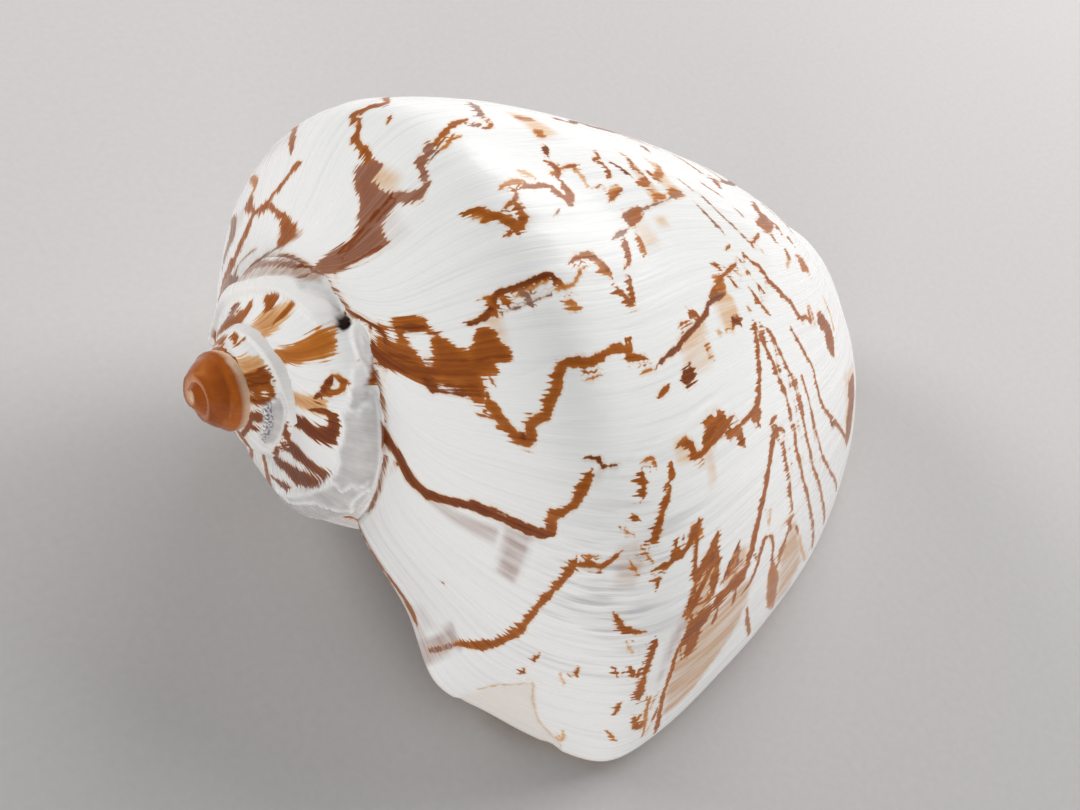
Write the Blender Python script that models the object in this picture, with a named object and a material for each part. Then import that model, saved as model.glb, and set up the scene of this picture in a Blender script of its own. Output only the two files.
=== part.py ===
"""Volute shell: one grown piece, lying on its flared lip with the aperture down.

The shell is a tube coiled clockwise round an axis, as seen from the apex. It is worked out in the
shell's own coordinates:
    turns   growth, in whole turns of the coil: 0 at the finished lip, negative towards the apex
    along   place on a growth line: 0 at the suture, 1 at the front end beside the columella
    radius  distance from the axis
    depth   distance from the apex along the axis
Lengths are millimetres until the mesh is placed, where they become metres. The axis points along
+X from the apex to the front end, +Z is up, and the origin is the middle of the box's underside.
"""

import math

import bpy
import numpy as np

MM = 0.001

# Growth of the coil
WHORL_RATIO = 1.95      # how much the last whorl widens in one turn
FIRST_TURN = -5.6       # where the solid begins, under the tip of the embryonic dome
HOLLOW_TURN = -1.0      # the body whorl is hollow from here to the lip
SUTURE_TURNS = (-6, -4, -3, -2, -1, 0)
SUTURE_RADIUS = (0.4, 3.7, 5.4, 6.6, 12.2, 25.8)
SUTURE_DEPTH = (0.0, 1.2, 3.6, 5.8, 11.4, 19.9)

# The finished lip, from the suture to the columella: place along the growth line, radius, depth,
# how far the flare carries it outwards and forwards, and its lead over the suture in turns
LIP = {
    "suture":   (0.00, None, None, 0.0, 0.0, 0.0),
    "ramp":     (0.14, 50.5, 33.5, 0.6, -4.2, 0.003),
    "shoulder": (0.34, 56.2, 50.0, 19.2, -1.5, -0.021),
    "waist":    (0.58, 50.0, 85.6, 18.5, 6.1, -0.040),
    "corner":   (0.80, 31.6, 134.8, 7.6, 2.2, -0.050),
    "notch":    (0.91, 19.7, 139.2, 0.0, 0.0, -0.165),
    "tip":      (1.00, 9.5, 139.2, 0.0, 0.0, -0.538),
}
FLARE_TURNS = 0.173     # the flare grows over this last part of a turn
FLARE_POWER = 1.7

# Waves of the finished edge: place along the growth line, how far out, how far forward
EDGE = (
    (0.00, 0.0, 1.4), (0.05, 0.0, 1.0), (0.10, 0.0, 0.8), (0.15, 0.4, -1.8), (0.17, 0.6, -2.3),
    (0.21, 0.4, -0.6), (0.25, 0.0, 0.0), (0.30, 0.4, 0.0), (0.35, 1.7, 0.0), (0.40, 0.3, 0.0),
    (0.45, -1.2, 0.0), (0.50, -1.9, 0.0), (0.55, -1.5, 0.0), (0.60, -0.7, 0.0), (0.65, 0.4, 0.0),
    (0.72, 0.8, 0.0), (0.80, 0.0, 0.0), (1.00, 0.0, 0.0),
)
EDGE_TURNS = 0.03       # the waves die away over this part of a turn, back from the lip

# Underside of the body whorl, which earlier growth leaves a little flatter near the spire
UNDER_TURN = -0.88
UNDER_SPREAD = 0.2      # turns
UNDER_FLAT = 0.071      # share of the radius taken off near the ramp
FLAT_CENTRE = 0.20      # place along the growth line
FLAT_WIDTH = 0.16
UNDER_FULL = 0.19       # share of the radius added at the waist
FULL_CENTRE = 0.70
FULL_WIDTH = 0.17

# Older whorls draw in towards the suture of the next whorl, which sits on them
PRESS = 0.07            # share of the radius
PRESS_CENTRE = 0.19     # place along the growth line
PRESS_WIDTH = 0.10
OLD_TURN = -0.85        # growth older than this is drawn in
OLD_SPREAD = 0.15       # turns over which that sets in

# Wall, and the pillar that the whorls leave round the axis
WALL = 3.8
LIP_WALL = 6.2
WALL_GROWTH = 0.18      # turns over which the wall thickens to the lip
LIP_ROUNDS = (0.5, 0.87)    # how far round the rim's half circle its rings lie
CORE_RADIUS = 0.3       # of the thread that filled whorls close on, along the axis
PILLAR_DEPTH = (58.0, 84.0, 106.0, 124.0, 136.0, 142.0)
PILLAR_RADIUS = (16.0, 12.6, 11.0, 9.6, 7.6, 5.0)
FOLD_DEPTH = (88.0, 99.0, 110.0, 121.0)
FOLD_HEIGHT = 2.0
FOLD_WIDTH = 2.6
FOLD_SLANT = 0.45       # how fast a fold moves forward, against the growth of the whorl
FOLD_BACK = (-0.25, 0.10)    # turn where the folds rise out of the pillar, and over how much
FOLD_FRONT = (0.34, 0.12)    # turn where they end inside the aperture, and over how much

# How the shell lies
DIP = 10.5              # degrees that the front end points down
LIP_ANGLE = 120.8       # degrees round the axis from the top to the lip at the suture

# Mesh
STEPS_PER_TURN = 44
SMALL_STEP = 0.004      # turns between the filled and the hollow rings
STATIONS = 34
PILLAR_RINGS = 44
PILLAR_SIDES = 40
VOXEL = 1.35
TRIANGLES = 9000


def spline(knots, values, at):
    """Smooth curve through the knots, with no kink and a third derivative shared by the end spans."""
    x = np.asarray(knots, float)
    y = np.asarray(values, float)
    n = len(x)
    h = np.diff(x)
    slope = np.diff(y, axis=0) / h.reshape((-1,) + (1,) * (y.ndim - 1))
    system = np.zeros((n, n))
    right = np.zeros(y.shape)
    for i in range(1, n - 1):
        system[i, i - 1:i + 2] = h[i - 1], 2 * (h[i - 1] + h[i]), h[i]
        right[i] = 6 * (slope[i] - slope[i - 1])
    system[0, :3] = h[1], -(h[0] + h[1]), h[0]
    system[-1, -3:] = h[-1], -(h[-2] + h[-1]), h[-2]
    bend = np.linalg.solve(system, right)
    t = np.clip(np.asarray(at, float), x[0], x[-1])
    i = np.clip(np.searchsorted(x, t, side="right") - 1, 0, n - 2)
    width, left, rest = h[i], t - x[i], x[i + 1] - t
    return (bend[i] * rest**3 + bend[i + 1] * left**3) / (6 * width) \
        + (y[i] / width - bend[i] * width / 6) * rest \
        + (y[i + 1] / width - bend[i + 1] * width / 6) * left


def suture(turns):
    """Radius and depth of the suture spiral."""
    radius = np.exp(spline(SUTURE_TURNS, np.log(SUTURE_RADIUS), turns))
    return radius, spline(SUTURE_TURNS, SUTURE_DEPTH, turns)


def growth(turns):
    """Size of the whorl against the finished lip, in radius and in depth.

    The last whorl grows at one rate. An older whorl is as wide as the suture laid on it one turn later.
    """
    steady = WHORL_RATIO ** np.maximum(turns, -1.0)
    next_radius, next_depth = suture(turns + 1.0)
    old = turns < -1.0
    radius = np.where(old, next_radius / SUTURE_RADIUS[-1] / WHORL_RATIO, steady)
    depth = np.where(old, next_depth / SUTURE_DEPTH[-1] / WHORL_RATIO, steady)
    return radius, depth


def outside(turns, along):
    """Radius, depth and angle (radians) of the outer surface, for arrays of turns and along."""
    table = np.array([row[:1] + tuple(0.0 if c is None else c for c in row[1:]) for row in LIP.values()])
    knots, lip_radius, lip_depth, out, forward, lead = table.T
    start_radius, start_depth = suture(turns)
    scale_radius, scale_depth = growth(turns)
    flare = np.clip(1.0 + turns / FLARE_TURNS, 0.0, 1.0) ** FLARE_POWER
    weight = [spline(knots, row, along) for row in np.eye(len(knots))]
    radius = weight[0] * start_radius
    depth = weight[0] * start_depth
    for k in range(1, len(knots)):
        radius = radius + weight[k] * scale_radius * (lip_radius[k] + flare * out[k])
        depth = depth + weight[k] * scale_depth * (lip_depth[k] + flare * forward[k])
    wave_at, wave_out, wave_forward = np.array(EDGE).T
    wave = np.exp(turns / EDGE_TURNS)
    radius = radius + wave * spline(wave_at, wave_out, along)
    depth = depth + wave * spline(wave_at, wave_forward, along)
    old = np.clip((OLD_TURN - turns) / OLD_SPREAD, 0, 1)
    radius = radius * (1 - PRESS * old * np.exp(-((along - PRESS_CENTRE) / PRESS_WIDTH) ** 2))
    under = np.exp(-((turns - UNDER_TURN) / UNDER_SPREAD) ** 2)
    near_ramp = np.exp(-((along - FLAT_CENTRE) / FLAT_WIDTH) ** 2)
    near_waist = np.exp(-((along - FULL_CENTRE) / FULL_WIDTH) ** 2)
    radius = radius * (1 + under * (UNDER_FULL * near_waist - UNDER_FLAT * near_ramp))
    angle = math.radians(LIP_ANGLE) + 2 * math.pi * (turns + spline(knots, lead, along))
    return radius, depth, angle


def place(radius, depth, angle):
    """Points in the row's directions, with the apex at zero and the axis dipped."""
    x, y, z = depth, -radius * np.sin(angle), radius * np.cos(angle)
    dip = math.radians(DIP)
    return np.stack([x * math.cos(dip) + z * math.sin(dip), y, z * math.cos(dip) - x * math.sin(dip)], -1)


def normals(turns, along):
    """Unit normals of the outer surface, pointing out of the shell."""
    step = 1e-3
    before = place(*outside(turns - step, along))
    after = place(*outside(turns + step, along))
    low = np.maximum(along - step, 0.0)
    high = np.minimum(along + step, 1.0)
    cross = np.cross(after - before, place(*outside(turns, high)) - place(*outside(turns, low)))
    return cross / np.linalg.norm(cross, axis=-1, keepdims=True)


def tube():
    """Rings of the shell's own section: the outer surface, then the way back to the suture.

    The way back runs along the axis where the whorls are filled, and along the inner face of the wall
    where the body whorl is hollow. The last rings round the lip.
    """
    along = np.linspace(0.0, 1.0, STATIONS)
    count = int((HOLLOW_TURN - FIRST_TURN) * STEPS_PER_TURN)
    rings = []
    for turn in np.linspace(FIRST_TURN, HOLLOW_TURN, count):
        radius, depth, angle = outside(np.full(STATIONS, turn), along)
        shell = place(radius, depth, angle)
        axis = place(np.full(STATIONS, CORE_RADIUS), depth, angle)
        rings.append(np.concatenate([shell, axis[::-1]]))
    for turn in np.linspace(HOLLOW_TURN + SMALL_STEP, 0.0, STEPS_PER_TURN):
        turns = np.full(STATIONS, turn)
        wall = WALL + (LIP_WALL - WALL) * math.exp(turn / WALL_GROWTH)
        shell = place(*outside(turns, along))
        inner = shell - normals(turns, along) * wall
        rings.append(np.concatenate([shell, inner[::-1]]))
    turns = np.zeros(STATIONS)
    shell = place(*outside(turns, along))
    onward = shell - place(*outside(turns - SMALL_STEP, along))
    onward = onward / np.linalg.norm(onward, axis=-1, keepdims=True)
    inner = shell - normals(turns, along) * LIP_WALL
    for part in LIP_ROUNDS:
        shrink = 1 - math.sqrt(1 - part**2)
        middle = (shell + inner) / 2 + onward * LIP_WALL / 2 * part
        half = (shell - inner) / 2 * (1 - shrink)
        rings.append(np.concatenate([middle + half, (middle - half)[::-1]]))
    return np.array(rings)


def pillar():
    """Rings round the axis: the columella, with four oblique folds that follow the growth."""
    depth = np.linspace(PILLAR_DEPTH[0], PILLAR_DEPTH[-1], PILLAR_RINGS)[:, None]
    angle = np.linspace(0, -2 * math.pi, PILLAR_SIDES, endpoint=False)[None, :]
    radius = spline(PILLAR_DEPTH, PILLAR_RADIUS, depth) + 0 * angle
    turn = ((angle - math.radians(LIP_ANGLE)) / (2 * math.pi) - FOLD_BACK[0]) % 1.0 + FOLD_BACK[0]
    for start in FOLD_DEPTH:
        centre = start * WHORL_RATIO ** (FOLD_SLANT * turn)
        rise = np.clip((turn - FOLD_BACK[0]) / FOLD_BACK[1], 0, 1)
        fade = rise * np.clip((FOLD_FRONT[0] - turn) / FOLD_FRONT[1], 0, 1)
        radius = radius + fade * FOLD_HEIGHT * np.exp(-((depth - centre) / FOLD_WIDTH) ** 2)
    return place(radius, depth + 0 * angle, angle + 0 * depth)


def closed_faces(rings, sides, first):
    """Faces of a closed skin over rings, with a cap at each end."""
    grid = first + np.arange(rings * sides).reshape(rings, sides)
    onward = np.roll(grid, -1, axis=1)
    quads = np.stack([grid[:-1], onward[:-1], onward[1:], grid[1:]], -1).reshape(-1, 4)
    return [tuple(q) for q in quads.tolist()] + [tuple(grid[0][::-1].tolist()), tuple(grid[-1].tolist())]


def shell_mesh():
    """The tube and the pillar as one mesh, still overlapping."""
    points, faces = [], []
    for rings in (tube(), pillar()):
        faces += closed_faces(rings.shape[0], rings.shape[1], sum(len(p) for p in points))
        points.append(rings.reshape(-1, 3))
    mesh = bpy.data.meshes.new("shell")
    mesh.from_pydata((np.concatenate(points) * MM).tolist(), [], faces)
    mesh.update()
    return mesh


def porcelain():
    """Glossy cream shell."""
    material = bpy.data.materials.new("glazed shell")
    material.use_nodes = True
    surface = material.node_tree.nodes["Principled BSDF"]
    surface.inputs["Base Color"].default_value = (0.80, 0.76, 0.70, 1.0)
    surface.inputs["Roughness"].default_value = 0.22
    surface.inputs["Metallic"].default_value = 0.0
    return material


def joined(obj):
    """One closed skin round everything that overlaps, thinned to the wanted number of triangles."""
    skin = obj.modifiers.new("skin", "REMESH")
    skin.mode = "VOXEL"
    skin.voxel_size = VOXEL * MM
    skin.use_smooth_shade = True
    evaluated = obj.evaluated_get(bpy.context.evaluated_depsgraph_get())
    quads = len(evaluated.data.polygons)
    thin = obj.modifiers.new("thin", "DECIMATE")
    thin.ratio = TRIANGLES / (2 * quads)
    thin.use_collapse_triangulate = True


def settle(obj):
    """Applies the modifiers and puts the origin under the middle of the box."""
    evaluated = obj.evaluated_get(bpy.context.evaluated_depsgraph_get())
    mesh = bpy.data.meshes.new_from_object(evaluated)
    obj.modifiers.clear()
    obj.data = mesh
    points = np.empty(len(mesh.vertices) * 3)
    mesh.vertices.foreach_get("co", points)
    points = points.reshape(-1, 3)
    low, high = points.min(axis=0), points.max(axis=0)
    points -= ((low[0] + high[0]) / 2, (low[1] + high[1]) / 2, low[2])
    mesh.vertices.foreach_set("co", points.ravel())
    mesh.update()
    mesh.shade_smooth()


def main():
    for old in list(bpy.data.objects):
        bpy.data.objects.remove(old)
    shell = bpy.data.objects.new("shell", shell_mesh())
    bpy.context.scene.collection.objects.link(shell)
    joined(shell)
    settle(shell)
    shell.data.materials.clear()
    shell.data.materials.append(porcelain())


main()
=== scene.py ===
"""Dressed volute shell: a fine skin, its markings and its finish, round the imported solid.

The shell is worked out in its own coordinates. Turns count the growth of the coil, from the apex
(negative) to the finished lip (0). Along is the place on a growth line, from the suture (0) to the
front end beside the columella (1). Shapes are in millimetres until a mesh is made, in metres.
"""

from __future__ import annotations

import logging
import math
from dataclasses import dataclass, field
from enum import Enum

import bpy
import numpy as np
from mathutils import Matrix, Vector
from numpy.typing import NDArray

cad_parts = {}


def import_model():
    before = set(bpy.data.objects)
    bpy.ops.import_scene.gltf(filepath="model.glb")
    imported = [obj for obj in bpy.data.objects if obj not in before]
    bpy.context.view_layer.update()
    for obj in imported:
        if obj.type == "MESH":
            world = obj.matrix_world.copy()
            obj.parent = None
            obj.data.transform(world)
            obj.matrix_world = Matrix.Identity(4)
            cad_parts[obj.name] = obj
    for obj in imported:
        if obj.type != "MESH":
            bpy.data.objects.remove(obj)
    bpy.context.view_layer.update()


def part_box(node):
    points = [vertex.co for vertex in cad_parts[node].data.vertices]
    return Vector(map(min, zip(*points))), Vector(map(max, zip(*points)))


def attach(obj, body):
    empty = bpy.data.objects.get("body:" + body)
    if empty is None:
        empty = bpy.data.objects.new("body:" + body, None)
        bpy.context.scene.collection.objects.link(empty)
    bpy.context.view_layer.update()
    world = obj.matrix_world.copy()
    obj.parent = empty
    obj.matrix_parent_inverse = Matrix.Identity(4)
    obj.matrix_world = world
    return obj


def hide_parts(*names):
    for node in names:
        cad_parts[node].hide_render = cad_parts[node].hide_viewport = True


Array = NDArray[np.float64]
Socket = bpy.types.NodeSocket
Mark = tuple[Socket, Socket, Socket]  # ink, tone and share of mauve
MM = 0.001
MARK_UNIT = 0.001
FAR_OFF = 99.0
MATH = "ShaderNodeMath"
RANGE = "ShaderNodeMapRange"
MIX = "ShaderNodeMix"
BLEND = {"out": 2, "data_type": "RGBA"}
log = logging.getLogger("volute")


def spline(knots: Array, values: Array, at: Array) -> Array:
    """Smooth curve through the knots: cubic spans whose end spans share their third derivative.

    Args:
        knots: places of the knots, rising.
        values: the value at each knot.
        at: places to read, held between the first and the last knot.

    Returns:
        The curve's value at each place.
    """
    x = np.asarray(knots, float)
    y = np.asarray(values, float)
    n = len(x)
    h = np.diff(x)
    slope = np.diff(y) / h
    system = np.zeros((n, n))
    right = np.zeros(n)
    inner = np.arange(1, n - 1)
    system[inner, inner - 1] = h[:-1]
    system[inner, inner] = 2 * (h[:-1] + h[1:])
    system[inner, inner + 1] = h[1:]
    right[inner] = 6 * np.diff(slope)
    system[0, :3] = h[1], -(h[0] + h[1]), h[0]
    system[-1, -3:] = h[-1], -(h[-2] + h[-1]), h[-2]
    bend = np.linalg.solve(system, right)
    t = np.clip(np.asarray(at, float), x[0], x[-1])
    i = np.clip(np.searchsorted(x, t, side="right") - 1, 0, n - 2)
    width, left, rest = h[i], t - x[i], x[i + 1] - t
    cubic = (bend[i] * rest**3 + bend[i + 1] * left**3) / (6 * width)
    straight = (y[i] / width - bend[i] * width / 6) * rest
    return cubic + straight + (y[i + 1] / width - bend[i + 1] * width / 6) * left


def bump(x: Array, centre: float, width: float) -> Array:
    """Bell curve, 1 at its centre: e to the minus square of the distance over the width."""
    return np.exp(-(((x - centre) / width) ** 2))


def ease(x: Array, start: float, end: float) -> Array:
    """Smooth step from 0 at start to 1 at end: 3 s squared minus 2 s cubed."""
    s = np.clip((x - start) / (end - start), 0.0, 1.0)
    return s * s * (3 - 2 * s)


def cloud(x: Array, y: Array, seed: int) -> Array:
    """Soft random field from -1 to 1 with lumps one unit wide: eased blend of a random lattice.

    Args:
        x: first coordinate, in lumps.
        y: second coordinate, in lumps.
        seed: picks the lattice.

    Returns:
        The field at each place.
    """
    cells = 256
    lattice = np.random.default_rng(seed).uniform(-1.0, 1.0, (cells, cells))
    column, row = np.floor(x).astype(int), np.floor(y).astype(int)
    across, down = ease(x - column, 0.0, 1.0), ease(y - row, 0.0, 1.0)
    near, far = column % cells, (column + 1) % cells
    top, low = row % cells, (row + 1) % cells
    upper = lattice[near, top] * (1 - across) + lattice[far, top] * across
    lower = lattice[near, low] * (1 - across) + lattice[far, low] * across
    return upper * (1 - down) + lower * down


def lumps(turns: Array, along: Array, grid: tuple) -> Array:
    """Soft random field over the shell: its lumps to one turn, its lumps to one along, and its seed."""
    per_turn, per_along, seed = grid
    return cloud(turns * per_turn, along * per_along, seed)


def away(spot: Array, start: Array, end: Array) -> Array:
    """Distance of each spot from the straight piece between start and end."""
    way, gap = end - start, spot - start
    part = np.clip(gap @ way / (way @ way), 0, 1)
    return np.linalg.norm(gap - part[..., None] * way, axis=-1)


@dataclass(frozen=True)
class Coil:
    """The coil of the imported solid: where a growth line lies at each stage of growth.

    Sizes are millimetres and places are turns or along. The lip's table gives, from the suture to
    the columella: along, radius, depth, flare outwards, flare forwards and lead over the suture.
    """

    whorl_ratio: float = 1.95
    suture_turns: tuple = (-6, -4, -3, -2, -1, 0)
    suture_radius: tuple = (0.4, 3.7, 5.4, 6.6, 12.2, 25.8)
    suture_depth: tuple = (0.0, 1.2, 3.6, 5.8, 11.4, 19.9)
    lip: tuple = (
        (0.00, 0.0, 0.0, 0.0, 0.0, 0.0),
        (0.14, 50.5, 33.5, 0.6, -4.2, 0.003),
        (0.34, 56.2, 50.0, 19.2, -1.5, -0.021),
        (0.58, 50.0, 85.6, 18.5, 6.1, -0.040),
        (0.80, 31.6, 134.8, 7.6, 2.2, -0.050),
        (0.91, 19.7, 139.2, 0.0, 0.0, -0.165),
        (1.00, 9.5, 139.2, 0.0, 0.0, -0.538),
    )
    flare_turns: float = 0.173
    flare_power: float = 1.7
    edge: tuple = (
        (0.00, 0.0, 1.4), (0.05, 0.0, 1.0), (0.10, 0.0, 0.8), (0.15, 0.4, -1.8), (0.17, 0.6, -2.3),
        (0.21, 0.4, -0.6), (0.25, 0.0, 0.0), (0.30, 0.4, 0.0), (0.35, 1.7, 0.0), (0.40, 0.3, 0.0),
        (0.45, -1.2, 0.0), (0.50, -1.9, 0.0), (0.55, -1.5, 0.0), (0.60, -0.7, 0.0), (0.65, 0.4, 0.0),
        (0.72, 0.8, 0.0), (0.80, 0.0, 0.0), (1.00, 0.0, 0.0),
    )
    edge_turns: float = 0.03
    under: tuple = (-0.88, 0.20)
    under_flat: tuple = (0.071, 0.20, 0.16)
    under_full: tuple = (0.19, 0.70, 0.17)
    press: tuple = (0.07, 0.19, 0.10)
    old: tuple = (-0.85, 0.15)
    lip_angle: float = 120.8
    dip: float = 10.5

    def suture(self, turns: Array) -> tuple[Array, Array]:
        """Radius and depth of the suture spiral, by a curve through its knots."""
        radius = np.exp(spline(self.suture_turns, np.log(self.suture_radius), turns))
        return radius, spline(self.suture_turns, self.suture_depth, turns)

    def growth(self, turns: Array) -> tuple[Array, Array]:
        """Size against the finished lip: the ratio to the power of turns.

        Before the last whorl it is as wide as the next suture instead, so that the whorls touch.
        """
        steady = self.whorl_ratio ** np.maximum(turns, -1.0)
        next_radius, next_depth = self.suture(turns + 1.0)
        radius = next_radius / self.suture_radius[-1] / self.whorl_ratio
        depth = next_depth / self.suture_depth[-1] / self.whorl_ratio
        return np.where(turns < -1.0, radius, steady), np.where(turns < -1.0, depth, steady)

    def outside(self, turns: Array, along: Array) -> tuple[Array, Array, Array]:
        """Radius, depth and angle of the outer surface.

        Radius and depth blend the suture with the lip's table, scaled by the growth. The flare, the
        waves of the edge, the press of the next whorl and the rounded underside are added to that.
        """
        knots, lip_radius, lip_depth, out, forward, lead = np.array(self.lip).T
        start_radius, start_depth = self.suture(turns)
        scale_radius, scale_depth = self.growth(turns)
        flare = np.clip(1.0 + turns / self.flare_turns, 0.0, 1.0) ** self.flare_power
        weight = [spline(knots, row, along) for row in np.eye(len(knots))]
        radius = weight[0] * start_radius
        depth = weight[0] * start_depth
        for k in range(1, len(knots)):
            radius = radius + weight[k] * scale_radius * (lip_radius[k] + flare * out[k])
            depth = depth + weight[k] * scale_depth * (lip_depth[k] + flare * forward[k])
        wave_at, wave_out, wave_forward = np.array(self.edge).T
        wave = np.exp(turns / self.edge_turns)
        radius = radius + wave * spline(wave_at, wave_out, along)
        depth = depth + wave * spline(wave_at, wave_forward, along)
        old = np.clip((self.old[0] - turns) / self.old[1], 0.0, 1.0)
        radius = radius * (1 - self.press[0] * old * bump(along, *self.press[1:]))
        flat = self.under_flat[0] * bump(along, *self.under_flat[1:])
        full = self.under_full[0] * bump(along, *self.under_full[1:])
        radius = radius * (1 + bump(turns, *self.under) * (full - flat))
        angle = math.radians(self.lip_angle) + 2 * math.pi * (turns + spline(knots, lead, along))
        return radius, depth, angle

    def place(self, radius: Array, depth: Array, angle: Array) -> Array:
        """Points with the apex at zero: a circle round the axis along +X, then the dip about Y."""
        x, y, z = depth, -radius * np.sin(angle), radius * np.cos(angle)
        dip = math.radians(self.dip)
        ahead = x * math.cos(dip) + z * math.sin(dip)
        return np.stack([ahead, y, z * math.cos(dip) - x * math.sin(dip)], -1)

    def surface(self, turns: Array, along: Array) -> Array:
        """Points of the outer surface."""
        return self.place(*self.outside(turns, along))

    def normals(self, turns: Array, along: Array) -> Array:
        """Unit normals of the outer surface: the cross product of its two slopes."""
        step = 1e-3
        onward = self.surface(turns + step, along) - self.surface(turns - step, along)
        low, high = np.maximum(along - step, 0.0), np.minimum(along + step, 1.0)
        across = self.surface(turns, high) - self.surface(turns, low)
        cross = np.cross(onward, across)
        return cross / np.linalg.norm(cross, axis=-1, keepdims=True)

    def lengths(self, turn: float, along: float) -> Array:
        """Millimetres that one turn and one along measure at a place."""
        step = 1e-3
        at = np.array([turn, turn, turn - step, turn + step])
        down = np.clip([along - step, along + step, along, along], 0.0, 1.0)
        spots = self.surface(at, down)
        across = np.linalg.norm(spots[3] - spots[2]) / (2 * step)
        return np.array([across, np.linalg.norm(spots[1] - spots[0]) / (down[1] - down[0])])

    def depth_inside(self, outline: tuple, turns: Array, along: Array) -> Array:
        """Signed distance in millimetres to a closed outline, positive inside it.

        The place is measured in the lengths that a turn and an along have at the outline's middle.
        It is inside where an odd number of edges lies across its row.

        Args:
            outline: corners as (turns, along) in thousandths.
            turns: turns of the places.
            along: along of the places.

        Returns:
            The distance at each place.
        """
        corners = np.array(outline) * MARK_UNIT
        middle = corners.mean(0)
        lengths = self.lengths(*middle)
        corner = (corners - middle) * lengths
        spot = np.stack([turns - middle[0], along - middle[1]], -1) * lengths
        distance = np.full(turns.shape, FAR_OFF)
        inside = np.zeros(turns.shape, bool)
        for start, end in zip(corner, np.roll(corner, -1, axis=0)):
            way = end - start
            distance = np.minimum(distance, away(spot, start, end))
            crosses = (start[1] > spot[..., 1]) != (end[1] > spot[..., 1])
            slant = (spot[..., 1] - start[1]) / (way[1] if way[1] else 1.0) * way[0] + start[0]
            inside ^= crosses & (spot[..., 0] < slant)
        return np.where(inside, distance, -distance)


def growth_line(turns: Array, along: Array) -> Array:
    """The growth line through a place, as the turn where it crosses the shoulder.

    Growth lines run back towards the suture, by a power of e, and forwards over the body, by an
    eased step, and are parallel to the finished lip next to it.
    """
    forward, back, back_width = 0.044, 0.055, 0.013
    body, lip = (0.08, 0.48), (0.0, 0.12)
    lead = forward * ease(along, *body) - back * np.exp(-along / back_width)
    return turns - lead * ease(-turns, *lip)


@dataclass(frozen=True)
class Layout:
    """How finely the skin is divided, and where its stations lie."""

    old_spans: tuple = ((-5.6, -3.5, 50), (-3.5, -2.0, 140), (-2.0, -1.0, 180))
    last_spans: tuple = ((-1.0, -0.66, 62), (-0.66, -0.30, 152), (-0.30, 0.0, 190))
    near_stations: int = 56
    far_stations: int = 62
    front_stations: int = 14
    near_end: float = 0.33
    far_end: float = 0.80
    buried_stations: int = 10
    axis_stations: int = 6
    inner_stations: int = 25
    rim_rings: int = 7
    pillar_rings: int = 96
    pillar_sides: int = 72

    def near(self) -> Array:
        """Stations next to the suture, which every whorl has."""
        return np.linspace(0.0, self.near_end, self.near_stations)

    def far(self) -> Array:
        """Stations from there to the front end, closer over the body than at the front."""
        body = np.linspace(self.near_end, self.far_end, self.far_stations + 1)[1:]
        return np.concatenate([body, np.linspace(self.far_end, 1.0, self.front_stations + 1)[1:]])

    def buried(self) -> Array:
        """Stations of the older whorls that the next whorl covers."""
        return np.linspace(self.near_end, 1.0, self.buried_stations + 1)[1:]

    def rings(self, spans: tuple) -> Array:
        """Turns of the rings: even steps within each span, with the last end."""
        steps = [np.linspace(a, b, n, endpoint=False) for a, b, n in spans]
        return np.concatenate(steps + [np.array([spans[-1][1]])])


def ring_faces(grid: Array) -> Array:
    """Quads between neighbouring rings of a grid of vertex numbers that closes on itself sideways."""
    onward = np.roll(grid, -1, axis=1)
    return np.stack([grid[:-1], onward[:-1], onward[1:], grid[1:]], -1).reshape(-1, 4)


def zipper(left: Array, right: Array) -> Array:
    """Triangles of a strip between two rows of vertices that run the same way.

    Each edge of a row is joined to the vertex that lies as far along the other row.

    Args:
        left: vertex numbers of one row.
        right: vertex numbers of the other row, on its right.

    Returns:
        Triangles, without those that a shared vertex flattens.
    """
    m, n = len(left), len(right)
    reach = np.floor((np.arange(m - 1) + 0.5) * n / (m - 1)).astype(int).clip(0, n - 1)
    passed = np.searchsorted(reach, np.arange(n - 1), side="right")
    one = np.stack([left[:-1], left[1:], right[reach]], -1)
    two = np.stack([right[1:], right[:-1], left[passed]], -1)
    faces = np.concatenate([one, two])
    keep = (faces[:, 0] != faces[:, 1]) & (faces[:, 1] != faces[:, 2]) & (faces[:, 0] != faces[:, 2])
    return faces[keep]


class Tone(Enum):
    """Pigments of the markings: how dark each is, and how far it goes from orange to mauve."""

    TAN = (0.08, 0.0)
    ORANGE = (0.34, 0.0)
    BROWN = (0.58, 0.0)
    DARK = (0.9, 0.0)
    RUSSET = (0.60, 0.46)
    MAUVE = (0.5, 0.8)
    MAROON = (0.86, 0.12)
    # GREY also paints shade in some grooves and along the suture.
    GREY = (0.75, 1.0)


TAN, ORANGE, BROWN, DARK, RUSSET, MAUVE, MAROON, GREY = Tone


@dataclass(frozen=True)
class Stroke:
    """A painted line: half its width in millimetres, its pigment and its path on the shell.

    Path points are (turns, along) in thousandths. The comb is the length in millimetres of the
    teeth that the line draws out along the growth lines.
    """

    half: float
    tone: Tone
    path: tuple
    comb: float = 0.9


@dataclass(frozen=True)
class Blotch:
    """A filled mark: its pigment, its outline and the outlines of the white holes in it."""

    tone: Tone
    outline: tuple
    holes: tuple = ()


@dataclass(frozen=True)
class Smear:
    """A thin veil of pigment under the glaze; two of the veils are painted shade.

    It has a strength, millimetres over which its edge fades, an outline, and 1 for mauve or 0 for tan.
    """

    strength: float
    soft: float
    outline: tuple
    mauve: float = 1.0


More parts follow.
